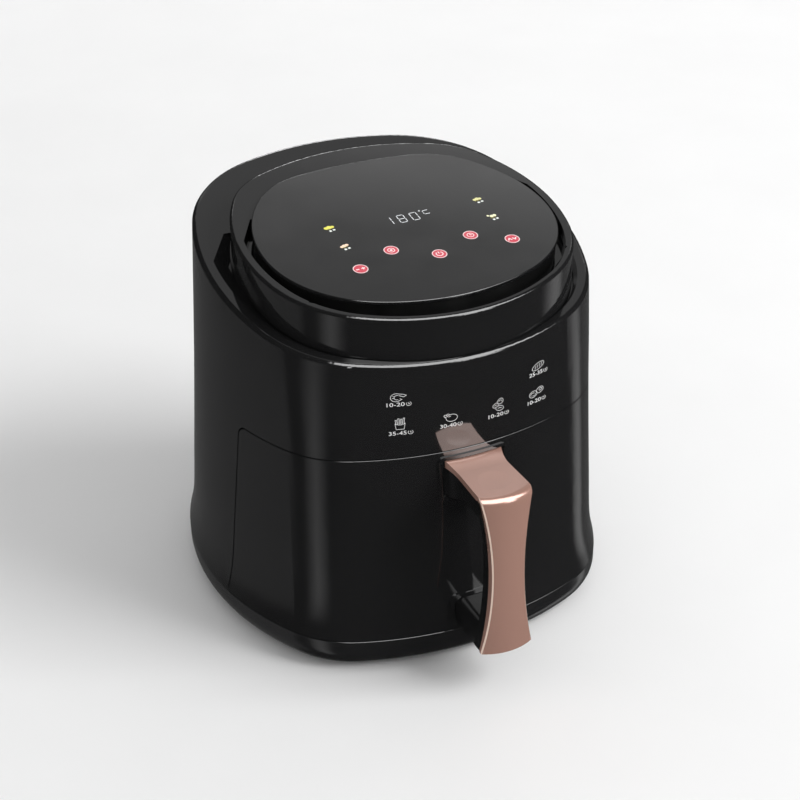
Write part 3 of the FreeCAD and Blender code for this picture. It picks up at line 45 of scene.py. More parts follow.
# ---- shader building -------------------------------------------------------------------
class Shader:
    """A material's node tree, with short ways to add the nodes that every finish here uses.

    Patterns are noise or cells in object coordinates, so their scales are per metre.
    """

    def __init__(self, name, base, roughness, metallic=0.0):
        self.material = bpy.data.materials.new(name)
        self.material.use_nodes = True
        self.tree = self.material.node_tree
        self.surface = self.tree.nodes["Principled BSDF"]
        self.surface.inputs["Base Color"].default_value = (*base, 1.0)
        self.surface.inputs["Roughness"].default_value = roughness
        self.surface.inputs["Metallic"].default_value = metallic
        self.place = self.tree.nodes.new("ShaderNodeTexCoord").outputs["Object"]
        self.relief = None

    def link(self, source, node, socket):
        self.tree.links.new(source, node.inputs[socket])

    def stretched(self, scale):
        """Object coordinates scaled along each axis, for brushed or drawn finishes."""
        mapping = self.tree.nodes.new("ShaderNodeMapping")
        mapping.inputs["Scale"].default_value = scale
        self.link(self.place, mapping, "Vector")
        return mapping.outputs["Vector"]

    def noise(self, per_metre, detail=3.0, place=None):
        """Cloudy noise; a stretched place has its own scale, and per_metre is then 1."""
        node = self.tree.nodes.new("ShaderNodeTexNoise")
        node.inputs["Scale"].default_value = per_metre
        node.inputs["Detail"].default_value = detail
        self.link(place or self.place, node, "Vector")
        return node.outputs["Fac"]

    def cells(self, per_metre):
        """Rounded grains: the distance to the nearest of scattered points."""
        node = self.tree.nodes.new("ShaderNodeTexVoronoi")
        node.inputs["Scale"].default_value = per_metre
        self.link(self.place, node, "Vector")
        return node.outputs["Distance"]

    def sideways(self):
        """How far the surface faces along X, from 0 to 1."""
        geometry = self.tree.nodes.new("ShaderNodeNewGeometry")
        split = self.tree.nodes.new("ShaderNodeSeparateXYZ")
        size = self.tree.nodes.new("ShaderNodeMath")
        size.operation = "ABSOLUTE"
        self.link(geometry.outputs["Normal"], split, 0)
        self.link(split.outputs["X"], size, 0)
        return size.outputs["Value"]

    def spread(self, value, low, high, start=0.3, end=0.7):
        """A pattern's values between start and end, stretched to run from low to high."""
        node = self.tree.nodes.new("ShaderNodeMapRange")
        node.inputs["From Min"].default_value = start
        node.inputs["From Max"].default_value = end
        node.inputs["To Min"].default_value = low
        node.inputs["To Max"].default_value = high
        self.link(value, node, "Value")
        return node.outputs["Result"]

    def vary_roughness(self, value, low, high, start=0.3, end=0.7):
        self.link(self.spread(value, low, high, start, end), self.surface, "Roughness")
        return self

    def vary_colour(self, value, first, second, start=0.3, end=0.7):
        return self.stops(value, "Base Color", ((start, first), (end, second)))

    def stops(self, value, socket, places):
        """Drives a socket from a pattern, with colours at places between 0 and 1."""
        node = self.tree.nodes.new("ShaderNodeValToRGB")
        elements = node.color_ramp.elements
        while len(elements) < len(places):
            elements.new(0.5)
        for element, (position, colour) in zip(elements, places):
            element.position = position
            element.color = (*colour, 1.0)
        self.link(value, node, "Fac")
        self.link(node.outputs["Color"], self.surface, socket)
        return self

    def bump(self, value, depth_mm):
        """Relief from a pattern; a second call adds its relief to the first one's."""
        node = self.tree.nodes.new("ShaderNodeBump")
        node.inputs["Distance"].default_value = depth_mm * MM
        self.link(value, node, "Height")
        if self.relief is not None:
            self.link(self.relief, node, "Normal")
        self.relief = node.outputs["Normal"]
        self.link(node.outputs["Normal"], self.surface, "Normal")
        return self

    def set(self, socket, value):
        """Sets a value that is the same all over the surface."""
        self.surface.inputs[socket].default_value = value
        return self


def shade(colour, factor):
    """A darker or lighter version of a colour."""
    return tuple(c * factor for c in colour)


# ---- finishes --------------------------------------------------------------------------
# Above a plain plastic's 1.5: the black parts are lacquered and mirror the soft boxes clearly.
LACQUER_IOR = 1.9


def gloss_black():
    """High-gloss moulding: nearly mirror-like, with faint orange peel and handling marks."""
    base = (0.0105, 0.0105, 0.0108)
    m = Shader("gloss_black_moulding", base, 0.06)
    m.vary_roughness(m.noise(38.0, 6.0), 0.03, 0.07)
    m.vary_colour(m.noise(9.0), shade(base, 0.9), shade(base, 1.12))
    m.bump(m.noise(520.0, 2.0), 0.0012)
    m.bump(m.noise(60.0, 2.0), 0.004)
    return m.set("IOR", LACQUER_IOR)


def panel_black():
    """The touch panel: black-backed, smooth, with faint smears from fingers."""
    base = (0.0085, 0.0085, 0.0088)
    m = Shader("touch_panel_black", base, 0.09)
    m.vary_roughness(m.noise(24.0, 8.0), 0.07, 0.14)
    m.vary_colour(m.noise(14.0, 6.0), shade(base, 0.9), shade(base, 1.25))
    m.bump(m.noise(300.0, 2.0), 0.001)
    return m.set("IOR", LACQUER_IOR)


def textured_plastic(name, base, roughness, grain_mm=0.35, depth_mm=0.015):
    """Moulded plastic with a spark-eroded grain and rubbed patches."""
    m = Shader(name, base, roughness)
    m.vary_roughness(m.noise(45.0, 5.0), roughness * 0.85, min(1.0, roughness * 1.2))
    m.vary_colour(m.noise(20.0, 4.0), shade(base, 0.85), shade(base, 1.25))
    return m.bump(m.noise(1.0 / (grain_mm * MM), 2.0), depth_mm)


def satin_black_handle():
    """The handle's black core: satin plastic with a very fine grain."""
    base = (0.0088, 0.0088, 0.009)
    m = Shader("handle_black_plastic", base, 0.2)
    m.vary_roughness(m.noise(55.0, 5.0), 0.13, 0.26)
    m.vary_colour(m.noise(30.0), shade(base, 0.85), shade(base, 1.3))
    return m.bump(m.noise(1500.0, 2.0), 0.003)


# How far sideways the handle cover faces where the painted highlight on its bevels begins and ends.
PAINTED_HIGHLIGHT_FACING = (0.42, 0.56, 0.84, 0.93)


def painted_highlight_stops(plain, bevel):
    """Stops that give the bevels the painted highlight's value, and the faces on both sides the plain one.
    """
    return tuple(zip(PAINTED_HIGHLIGHT_FACING, (plain, bevel, bevel, plain)))


def rose_gold():
    """Satin rose-gold under clear lacquer; the bevels, halfway to the side, carry a painted highlight: a
    pale colour with little metal.
    """
    # The second colour and metal value are a painted highlight on the bevels.
    satin, painted_highlight = (0.55, 0.315, 0.25), (1.0, 0.78, 0.66)
    satin_metallic, painted_highlight_metallic = 0.42, 0.08
    m = Shader("rose_gold_satin_painted_bevels", satin, 0.21, satin_metallic)
    side = m.sideways()
    m.stops(side, "Base Color", painted_highlight_stops(satin, painted_highlight))
    m.stops(side, "Metallic", painted_highlight_stops((satin_metallic,) * 3, (painted_highlight_metallic,) * 3))
    m.vary_roughness(m.noise(900.0, 3.0), 0.19, 0.23)
    m.bump(m.noise(240.0, 2.0), 0.0005)
    m.set("Coat Weight", 1.0)
    m.set("Coat IOR", 1.7)
    return m.set("Coat Roughness", 0.09)


def sheet_metal(name, base, roughness, grain=(40.0, 900.0, 900.0)):
    """Rolled sheet or turned steel: fine drawn grain, blotches and dull spots."""
    m = Shader(name, base, roughness, 1.0)
    along = m.stretched(grain)
    m.vary_roughness(m.noise(1.0, 4.0, along), roughness * 0.7, min(1.0, roughness * 1.35))
    m.vary_colour(m.noise(35.0, 6.0), shade(base, 0.8), shade(base, 1.1))
    return m.bump(m.noise(1.0, 3.0, along), 0.006)


def heated_steel():
    """Element steel, dulled and browned in patches by heat."""
    m = Shader("heat_dulled_steel", (0.25, 0.22, 0.2), 0.45, 0.9)
    m.vary_colour(m.noise(60.0, 5.0), (0.16, 0.13, 0.11), (0.38, 0.33, 0.30))
    m.vary_roughness(m.noise(140.0, 4.0), 0.32, 0.6)
    return m.bump(m.noise(1800.0, 3.0), 0.008)


def laminated_steel():
    """A stack of stamped sheets: fine layers along Z."""
    m = Shader("stacked_steel_sheet", (0.16, 0.15, 0.145), 0.5, 0.85)
    layers = m.stretched((4.0, 4.0, 1900.0))
    m.vary_colour(m.noise(1.0, 1.0, layers), (0.09, 0.085, 0.08), (0.22, 0.21, 0.2))
    m.vary_roughness(m.noise(90.0, 4.0), 0.38, 0.65)
    return m.bump(m.noise(1.0, 1.0, layers), 0.05)


def winding():
    """Enamelled wire in layers across the coil."""
    m = Shader("enamelled_winding", (0.42, 0.13, 0.04), 0.35, 0.7)
    turns = m.stretched((2600.0, 30.0, 30.0))
    m.vary_colour(m.noise(1.0, 1.0, turns), (0.26, 0.07, 0.02), (0.55, 0.20, 0.07))
    m.vary_roughness(m.noise(80.0), 0.25, 0.45)
    return m.bump(m.noise(1.0, 1.0, turns), 0.08)


def pan_coating():
    """Dark non-stick coating: a hard satin skin with fine mineral flecks."""
    m = Shader("non_stick_coating", (0.018, 0.018, 0.019), 0.38, 0.2)
    m.vary_colour(m.cells(900.0), (0.075, 0.075, 0.078), (0.016, 0.016, 0.017), 0.05, 0.22)
    m.vary_roughness(m.noise(70.0, 5.0), 0.28, 0.46)
    m.bump(m.noise(1400.0, 2.0), 0.01)
    return m.bump(m.noise(90.0, 2.0), 0.02)


def circuit_board():
    """Solder mask over faint tracks."""
    m = Shader("solder_mask_green", (0.012, 0.09, 0.035), 0.32)
    tracks = m.tree.nodes.new("ShaderNodeTexBrick")
    tracks.inputs["Scale"].default_value = 420.0
    tracks.inputs["Mortar Size"].default_value = 0.06
    m.link(m.place, tracks, "Vector")
    m.vary_colour(tracks.outputs["Fac"], (0.010, 0.075, 0.03), (0.03, 0.15, 0.06), 0.2, 0.8)
    m.vary_roughness(m.noise(100.0, 3.0), 0.25, 0.42)
    return m.bump(tracks.outputs["Fac"], 0.03)


def cast_surface(name, base, roughness, grain_mm, metallic=0.0):
    """A fine granular surface, as on ceramic or sintered metal."""
    m = Shader(name, base, roughness, metallic)
    m.vary_colour(m.noise(220.0, 4.0), shade(base, 0.82), shade(base, 1.08))
    m.vary_roughness(m.noise(160.0, 3.0), roughness * 0.85, min(1.0, roughness * 1.15))
    return m.bump(m.cells(1.0 / (grain_mm * MM)), 0.02)


def printed(name, base, glow=0.0):
    """Screen-printed ink or a lit symbol: slightly uneven cover over the gloss below."""
    m = Shader(name, base, 0.4)
    m.vary_colour(m.noise(700.0, 3.0), shade(base, 0.86), base)
    m.vary_roughness(m.noise(400.0, 2.0), 0.32, 0.5)
    m.bump(m.noise(2500.0, 2.0), 0.004)
    if glow:
        m.set("Emission Color", (*base, 1.0))
        m.set("Emission Strength", glow)
    return m


def base_gloss():
    """The base ring's slightly softer black gloss, scuffed near the foot."""
    base = (0.0125, 0.0125, 0.013)
    m = Shader("base_ring_black", base, 0.12)
    m.vary_roughness(m.noise(30.0, 7.0), 0.08, 0.17)
    m.vary_colour(m.noise(16.0), shade(base, 0.9), shade(base, 1.15))
    m.bump(m.noise(480.0, 2.0), 0.0015)
    return m.set("IOR", LACQUER_IOR)


# One finish for each of the record's material slots, and one for a node that differs from its
# slot: panel_tray, which is darker than the other inner plastic.
FINISHES = {
    "housing_black": gloss_black(),
    "panel_glass": panel_black(),
    "inner_plastic": textured_plastic("inner_black_plastic", (0.016, 0.016, 0.016), 0.55),
    "panel_tray": textured_plastic("panel_bed_black", (0.0035, 0.0035, 0.0035), 0.4),
    "base_black": base_gloss(),
    "rubber": textured_plastic("foot_rubber", (0.02, 0.02, 0.02), 0.8, 0.6, 0.03),
    "zinc_steel": sheet_metal("zinc_plated_steel", (0.55, 0.56, 0.58), 0.3),
    "sheet_steel": sheet_metal("rolled_steel_sheet", (0.52, 0.52, 0.51), 0.34),
    "silicone": textured_plastic("grey_silicone", (0.05, 0.05, 0.052), 0.62, 0.8, 0.01),
    "element_steel": heated_steel(),
    "ceramic": cast_surface("steatite_ceramic", (0.74, 0.71, 0.64), 0.6, 0.4),
    "fan_aluminium": sheet_metal(
        "stamped_aluminium", (0.66, 0.67, 0.68), 0.36, grain=(70.0, 70.0, 900.0)
    ),
    "lamination": laminated_steel(),
    "winding": winding(),
    "bronze": cast_surface("sintered_bronze", (0.42, 0.26, 0.12), 0.45, 0.3, 0.9),
    "board_green": circuit_board(),
    "component_black": textured_plastic("component_plastic", (0.02, 0.02, 0.021), 0.45, 0.25),
    "cable_white": textured_plastic("ribbon_cable", (0.62, 0.61, 0.57), 0.5, 0.9, 0.05),
    "pan_coating": pan_coating(),
    "rose_gold": rose_gold(),
    "handle_black": satin_black_handle(),
}


def dress_cad_nodes():
    """Gives every CAD node its finish: its own where it has one, or else its slot's."""
    slots = {part["node"]: part["material_slot"] for part in frame["record"]["subparts"]}
    for name, obj in frame["nodes"].items():
        obj.data.materials.clear()
        finish = FINISHES.get(name) or FINISHES[slots[name]]
        obj.data.materials.append(finish.material)


dress_cad_nodes()


# ---- flat print shapes, in millimetres ---------------------------------------------------
def disc(x, y, r, steps=28):
    """A filled circle, as one face."""
    turn = 2 * math.pi / steps
    return [[(x + r * math.cos(k * turn), y + r * math.sin(k * turn)) for k in range(steps)]]


# The cosine of half the sharpest turn that is mitred in full: no mitre is longer than twice
# the line's half width.
SHARPEST_MITRE = 0.5


def stroke(points, width, closed=False):
    """A line of even width through points, with mitred corners: one quad for each segment."""
    pts = [Vector(p) for p in points]
    count = len(pts)
    half = width / 2
    sides = []
    for k, p in enumerate(pts):
        before = pts[k - 1] if k or closed else p
        after = pts[(k + 1) % count] if k < count - 1 or closed else p
        ways = [d.normalized() for d in (p - before, after - p) if d.length > 0]
        along = sum(ways, Vector((0.0, 0.0))).normalized()
        across = Vector((-along.y, along.x))
        lean = max(SHARPEST_MITRE, abs(across.dot(Vector((-ways[0].y, ways[0].x)))))
        sides.append((p + across * half / lean, p - across * half / lean))
    quads = []
    for k in range(count if closed else count - 1):
        a, b = sides[k], sides[(k + 1) % count]
        quads.append([tuple(a[1]), tuple(b[1]), tuple(b[0]), tuple(a[0])])
    return quads


def arc(x, y, rx, ry, start, end, steps=14):
    """Points on an ellipse between two angles in degrees."""
    points = []
    for k in range(steps + 1):
        t = math.radians(start + (end - start) * k / steps)
        points.append((x + rx * math.cos(t), y + ry * math.sin(t)))
    return points


def turned(points, x, y, degrees):
    """Points turned about the origin and then moved to x, y."""
    c, s = math.cos(math.radians(degrees)), math.sin(math.radians(degrees))
    return [(x + px * c - py * s, y + px * s + py * c) for px, py in points]


def oval(x, y, rx, ry, width, tilt=0.0, steps=26):
    """The outline of an ellipse, tilted by some degrees."""
    ring = arc(0.0, 0.0, rx, ry, 0.0, 360.0 - 360.0 / steps, steps - 1)
    return stroke(turned(ring, x, y, tilt), width, closed=True)


def moved(faces, x, y):
    """Faces drawn round 0, 0, shifted to their place."""
    return [[(px + x, py + y) for px, py in face] for face in faces]


# ---- laying print on the object ----------------------------------------------------------
# Where the rays start that look for the surface, in metres: over and in front of the object.
ABOVE_ALL = 0.5
BEFORE_ALL = -0.4


class Skin:
    """A surface of the object that flat shapes are laid on, seen from the top or the front."""

    def __init__(self, node, plan):
        mesh = frame["nodes"][node].data
        self.tree = BVHTree.FromPolygons(
            [v.co for v in mesh.vertices], [tuple(p.vertices) for p in mesh.polygons]
        )
        self.plan = plan

    def at(self, u, v):
        """The point under print coordinates u, v, and the surface's outward direction.

        The coordinates are mm: x and y from the housing's axis at the top, x and z in front.
        """
        if self.plan == "top":
            start = Vector((u * MM, v * MM + HOUSING_Y, ABOVE_ALL))
            towards = Vector((0.0, 0.0, -1.0))
        else:
            start = Vector((u * MM, BEFORE_ALL, v * MM))
            towards = Vector((0.0, 1.0, 0.0))
        hit, normal, _, _ = self.tree.ray_cast(start, towards)
        if normal.dot(towards) > 0:
            normal = -normal
        return hit, normal


# The print's gap to the surface clears the curve between its corners.
PRINT_GAP = 0.06 * MM
PRINT_THICKNESS = 0.08 * MM
PRINT_JOIN = 0.01 * MM


def lay(name, skin, faces, finish, lift=0.0):
    """Makes one thin solid piece of print from flat faces and fixes it to the housing.

    A lift, in mm, puts one piece of print over another.
    """
    bm = bmesh.new()
    for face in faces:
        corners = []
        for u, v in face:
            hit, normal = skin.at(u, v)
            corners.append(bm.verts.new(hit + normal * (PRINT_GAP + lift * MM)))
        made = bm.faces.new(corners)
        made.normal_update()
        outward = skin.at(*face[0])[1]
        if made.normal.dot(outward) < 0:
            made.normal_flip()
    bmesh.ops.remove_doubles(bm, verts=bm.verts, dist=PRINT_JOIN)
    mesh = bpy.data.meshes.new(name)
    bm.to_mesh(mesh)
    bm.free()
    mesh.materials.append(finish.material)
    obj = bpy.data.objects.new(name, mesh)
    bpy.context.scene.collection.objects.link(obj)
    body = obj.modifiers.new("thickness", "SOLIDIFY")
    body.thickness = PRINT_THICKNESS
    body.offset = 1.0
    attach(obj, "housing")


def numerals(text, x, y, height, width):
    """Small printed numbers from Blender's own font, centred on x and standing on y."""
    curve = bpy.data.curves.new("numerals", "FONT")
    curve.body = text
    holder = bpy.data.objects.new("numerals", curve)
    bpy.context.scene.collection.objects.link(holder)
    bpy.context.view_layer.update()
    mesh = bpy.data.meshes.new_from_object(holder)
    xs = [v.co.x for v in mesh.vertices]
    ys = [v.co.y for v in mesh.vertices]
    sx = width / (max(xs) - min(xs))
    sy = height / (max(ys) - min(ys))
    placed = [(x - width / 2 + (px - min(xs)) * sx, y + (py - min(ys)) * sy)
              for px, py in zip(xs, ys)]
    faces = [[placed[i] for i in face.vertices] for face in mesh.polygons]
    bpy.data.objects.remove(holder)
    bpy.data.curves.remove(curve)
    bpy.data.meshes.remove(mesh)
    return faces


# ---- print on the front -------------------------------------------------------------------
# The icons are drawn round 0, 0, with lines of this width.
LINE = 0.27
FRY_STICKS = [
    # left edge, top, how far the top leans to the right
    (-2.6, 3.0, -0.5),
    (-1.2, 4.0, -0.2),
    (0.2, 3.6, 0.1),
    (1.6, 4.2, 0.4),
]
FRY_WIDTH = 0.9
LOAF_LEAN = 16.0
LOAF_SLASHES = (-2.4, -0.6, 1.2, 3.0)


def prawn_icon():
    """A curled prawn with a fanned tail."""
    return (
        stroke(arc(-1.2, 0.0, 3.6, 2.9, 60.0, 300.0), LINE)
        + stroke(arc(-0.6, 0.0, 2.0, 1.6, 70.0, 290.0), LINE)
        + stroke([(0.6, 2.5), (3.0, 2.1), (5.2, 1.2), (3.4, 0.2), (0.4, 1.4)], LINE)
        + stroke([(0.2, -2.6), (2.4, -1.6), (1.0, -0.9)], LINE)
        + stroke([(-3.4, 1.2), (-2.0, 0.6)], LINE)
        + stroke([(-3.7, -0.4), (-2.2, -0.3)], LINE)
    )


def fries_icon():
    """A box of fries."""
    box_side = stroke([(-3.2, 0.6), (-2.5, -3.8), (2.5, -3.8), (3.2, 0.6)], LINE)
    lip = stroke(arc(0.0, 0.8, 3.2, 1.3, 180.0, 360.0), LINE)
    sticks = []
    for x, top, lean in FRY_STICKS:
        head = x + lean
        sides = [(x, 0.2), (head, top), (head + FRY_WIDTH, top), (x + FRY_WIDTH, 0.0)]
        sticks += stroke(sides, LINE)
    return box_side + lip + sticks


def roast_icon():
    """A trussed roast with its two drumsticks."""
    return (
        stroke(arc(0.8, -0.4, 3.9, 2.6, -150.0, 150.0, 20), LINE)
        + stroke([(-2.6, -1.8), (-3.6, 0.8), (-2.6, 1.0)], LINE)
        + stroke(arc(-3.6, 1.6, 1.0, 0.8, 0.0, 300.0, 10), LINE)
        + stroke(arc(-1.8, 2.2, 0.9, 0.7, -60.0, 240.0, 10), LINE)
        + stroke([(-1.6, 0.6), (0.2, 1.0)], LINE)
    )


def nuggets_icon():
    """Three fried pieces in a heap."""
    return (
        oval(1.6, 3.0, 2.3, 1.9, LINE, 30.0)
        + oval(-1.9, 0.6, 2.2, 1.5, LINE, 20.0)
        + oval(1.2, -2.0, 3.0, 1.8, LINE, -10.0)
        + stroke(arc(1.6, 3.0, 1.0, 0.8, 0.0, 200.0, 8), LINE)
        + stroke([(-2.8, 0.4), (-1.2, 1.0)], LINE)
        + stroke([(-0.2, -2.2), (1.2, -1.6), (2.6, -2.2)], LINE)
    )


def loaf_icon():
    """A slanted loaf with slashes."""
    loaf = oval(0.0, 0.0, 5.2, 2.3, LINE, LOAF_LEAN)
    for x in LOAF_SLASHES:
        slash = [(x - 0.5, -1.1), (x + 0.3, 1.2)]
        loaf += stroke(turned(slash, 0.0, 0.0, LOAF_LEAN), LINE)
    return loaf


def cutlets_icon():
    """Two cutlets lying on each other."""
    return (
        oval(-2.6, -0.7, 3.3, 2.3, LINE, 8.0)
        + oval(3.0, 0.9, 3.1, 2.1, LINE, 8.0)
        + oval(3.6, 1.2, 1.3, 0.9, LINE, 8.0, 14)
        + stroke(arc(-3.0, -0.8, 1.8, 1.2, 40.0, 220.0, 8), LINE)
        + stroke(arc(-2.2, -0.9, 1.5, 1.1, 230.0, 380.0, 8), LINE)
    )


def clock_mark():
    """The small clock after a cooking time."""
    ring = stroke(arc(0.0, 1.3, 1.6, 1.35, -230.0, 60.0), LINE)
    return ring + stroke([(0.0, 2.3), (0.0, 1.2), (0.8, 1.2)], LINE)


FRONT_PRINT = [
    # name, icon, centre x, the icon's centre z, the foot z of the time, the time in minutes
    ("prawn", prawn_icon, -50.6, 208.4, 202.0, "10-20"),
    ("fries", fries_icon, -49.7, 188.9, 181.0, "35-45"),
    ("roast", roast_icon, -16.5, 188.4, 181.4, "30-40"),
    ("nuggets", nuggets_icon, 18.0, 188.2, 180.2, "10-20"),
    ("loaf", loaf_icon, 50.2, 206.8, 200.4, "25-35"),
    ("cutlets", cutlets_icon, 49.2, 187.6, 180.0, "10-20"),
]
TIME_WIDTH = 11.2
TIME_HEIGHT = 2.7
TIME_FROM_ICON = -1.6
CLOCK_FROM_ICON = 6.6


def print_front():
    """Six cooking programmes, each with an icon, a time and a small clock."""
    skin = Skin("outer_shell", "front")
    ink = printed("white_print", (0.86, 0.86, 0.86))
    for name, icon, x, z, time_z, minutes in FRONT_PRINT:
        lay(f"print_{name}", skin, moved(icon(), x, z), ink)
        text = numerals(minutes, x + TIME_FROM_ICON, time_z, TIME_HEIGHT, TIME_WIDTH)
        lay(f"print_time_{name}", skin, text, ink)
        clock = moved(clock_mark(), x + CLOCK_FROM_ICON, time_z)
        lay(f"print_clock_{name}", skin, clock, ink)


print_front()


# ---- the panel's keys, symbols and display --------------------------------------------------
KEY_R = 4.95
KEY_RING_INSET = 0.2
KEY_RING_LINE = 0.62
SYMBOL_R = 2.3
# How far print lies over other print: on a key, and from one lit layer to the next.
OVER_KEY = 0.12
LIT_LAYER = 0.02


def minus_plus():
    """A minus and a plus sign side by side."""
    return (
        stroke([(-3.2, -0.2), (-1.0, -0.2)], 1.0)
        + stroke([(0.6, 0.2), (3.2, 0.2)], 0.9)
        + stroke([(1.9, -1.1), (1.9, 1.5)], 0.9)
    )


def heat():
    """A ring with a filled centre."""
    return oval(0.0, 0.0, SYMBOL_R, SYMBOL_R, 0.6) + disc(0.0, 0.0, 1.0, 14)


def power():
    """The usual open ring with a bar in its gap."""
    ring = stroke(arc(0.0, 0.0, SYMBOL_R, SYMBOL_R, 125.0, 415.0), 0.7)
    return ring + stroke([(0.0, 0.4), (0.0, 2.6)], 0.7)


def timer():
    """A clock face with two hands."""
    ring = oval(0.0, 0.0, SYMBOL_R, SYMBOL_R, 0.55)
    return ring + stroke([(0.0, 1.5), (0.0, 0.0), (1.2, 0.0)], 0.6)


def arrows():
    """An up and a down arrow head."""
    return (
        stroke([(-3.1, -1.1), (-1.8, 1.0), (-0.5, -1.1)], 0.9)
        + stroke([(0.5, 1.1), (1.8, -1.0), (3.1, 1.1)], 0.9)
    )


KEYS = [
    # name, symbol, centre x, centre y
    ("minus_plus", minus_plus, -49.8, -65.2),
    ("heat", heat, -22.1, -51.9),
    ("power", power, 5.6, -66.9),
    ("timer", timer, 34.9, -53.5),
    ("arrows", arrows, 58.8, -67.4),
]


def lay_keys(skin):
    """Five round touch keys: a red disc, a pale ring in its edge and a white symbol."""
    red = printed("key_red", (0.56, 0.055, 0.085), 0.24)
    pale = printed("key_pale_ring", (0.80, 0.60, 0.60), 0.3)
    white = printed("key_symbol_white", (0.85, 0.66, 0.66), 0.34)
    ring_r = KEY_R - KEY_RING_INSET
    for name, symbol, x, y in KEYS:
        lay(f"key_{name}", skin, disc(x, y, KEY_R), red)
        lay(f"key_ring_{name}", skin, oval(x, y, ring_r, ring_r, KEY_RING_LINE), pale, OVER_KEY)
        lay(f"key_symbol_{name}", skin, moved(symbol(), x, y), white, OVER_KEY)


FOOD_SYMBOLS = [
    # name, centre x, centre y, each of the three lobes' x, y and radius
    ("salad", -49.0, -12.4, ((-2.2, -0.1, 1.5), (0.1, 0.4, 1.8), (2.4, 0.3, 1.3))),
    ("bun", -48.6, -36.4, ((-1.9, -0.6, 1.2), (0.0, 0.1, 1.5), (2.0, 0.6, 1.2))),
    ("cake", 60.0, -13.9, ((-1.9, -0.1, 1.3), (0.1, 0.5, 1.5), (2.1, 0.2, 1.2))),
    ("leg", 59.6, -37.2, ((-2.6, 1.4, 0.9), (-0.3, 0.2, 1.4), (1.9, 0.6, 1.3))),
]
FOOD_TINTS = {
    "salad": (0.72, 0.68, 0.10),
    "bun": (0.84, 0.62, 0.46),
    "cake": (0.66, 0.64, 0.30),
    "leg": (0.78, 0.78, 0.52),
}


def lay_food_symbols(skin):
    """Small lit pictures: three lobes in a tint, a rim under them and a two-part plate.

    Each lobe lies a little higher than the one before it.
    """
    pale = printed("symbol_pale", (0.72, 0.76, 0.72), 0.34)
    rim = printed("symbol_rim", (0.42, 0.36, 0.12), 0.2)
    for name, x, y, lobes in FOOD_SYMBOLS:
        tint = printed(f"symbol_{name}", FOOD_TINTS[name], 0.34)
        for k, (dx, dy, r) in enumerate(lobes):
            lobe = disc(x + dx, y + dy, r, 16)
            lay(f"symbol_{name}_{k}", skin, lobe, tint, LIT_LAYER * (k + 1))
        edge = stroke([(x - 2.2, y - 2.0), (x + 2.0, y - 1.3)], 0.4)
        lay(f"symbol_{name}_rim", skin, edge, rim, LIT_LAYER * 4)
        plate = stroke([(x - 1.4, y - 4.2), (x + 0.2, y - 3.9)], 1.7)
        plate += stroke([(x + 1.3, y - 3.6), (x + 3.0, y - 3.3)], 1.5)
        lay(f"symbol_{name}_plate", skin, plate, pale, LIT_LAYER)


DIGIT_HEIGHT = 9.0
DIGIT_WIDTH = 4.8
DIGIT_LINE = 0.58
DIGIT_GAP = 0.45
DISPLAY_TOP = -14.35
DISPLAY_DIGITS = (("1", -11.1), ("8", -1.2), ("0", 8.1))
DEGREE_X = 16.2
UNIT_X = 18.0
UNIT_SIZE = 4.4
SEGMENTS = {"1": "bc", "8": "abcdefg", "0": "abcdef", "C": "adef"}


def digit(char, x, y_top, width, height):
    """A seven-segment digit, with small gaps between its bars."""
    top, middle, low = y_top, y_top - height / 2, y_top - height
    left, right = x, x + width
    gap = DIGIT_GAP
    bars = {
        "a": [(left + gap, top), (right - gap, top)],
        "g": [(left + gap, middle), (right - gap, middle)],
        "d": [(left + gap, low), (right - gap, low)],
        "f": [(left, top - gap), (left, middle + gap)],
        "e": [(left, middle - gap), (left, low + gap)],
        "b": [(right, top - gap), (right, middle + gap)],
        "c": [(right, middle - gap), (right, low + gap)],
    }
    faces = []
    for bar in SEGMENTS[char]:
        faces += stroke(bars[bar], DIGIT_LINE)
    return faces


def lay_display(skin):
    """The lit temperature: three digits, a degree sign and a small C."""
    lit = printed("display_light", (0.66, 0.68, 0.70), 0.34)
    faces = []
    for char, x in DISPLAY_DIGITS:
        faces += digit(char, x, DISPLAY_TOP, DIGIT_WIDTH, DIGIT_HEIGHT)
    faces += oval(DEGREE_X, DISPLAY_TOP + 0.6, 0.5, 0.6, 0.35, 0.0, 12)
    faces += digit("C", UNIT_X, DISPLAY_TOP, UNIT_SIZE, UNIT_SIZE)
    lay("display_digits", skin, faces, lit, LIT_LAYER)


panel = Skin("control_panel_glass", "top")
lay_keys(panel)
lay_food_symbols(panel)
lay_display(panel)


# ---- studio ---------------------------------------------------------------------------------
FLOOR_REACH = 14.0
PLAIN_BRIGHTNESS = 0.60
LIGHTS = [
    # name, place, the point it faces, width, height, watts
    ("key", (2.2, -1.8, 2.5), (0.0, 0.0, 0.1), 2.0, 2.0, 108.0),
    ("backdrop", (0.7, 1.9, 1.3), (0.7, 1.9, 0.0), 2.6, 1.2, 8.0),
]


def floor_finish():
    """Pale matt floor, with the faintest unevenness."""
    m = Shader("pale_floor", (0.86, 0.86, 0.86), 0.7)
    m.vary_colour(m.noise(6.0, 4.0), (0.85, 0.85, 0.85), (0.87, 0.87, 0.87))
    m.vary_roughness(m.noise(20.0, 3.0), 0.65, 0.8)
    return m.bump(m.noise(600.0, 2.0), 0.01)


def make_floor():
    """A wide plain floor that the gloss black doesn't mirror, as in a retouched studio picture."""
    bm = bmesh.new()
    corners = [bm.verts.new((x * FLOOR_REACH, y * FLOOR_REACH, 0.0))
               for x, y in ((-1, -1), (1, -1), (1, 1), (-1, 1))]
    bm.faces.new(corners)
    mesh = bpy.data.meshes.new("studio_floor")
    bm.to_mesh(mesh)
    bm.free()
    mesh.materials.append(floor_finish().material)
    floor = bpy.data.objects.new("studio_floor", mesh)
    bpy.context.scene.collection.objects.link(floor)
    floor.visible_glossy = False


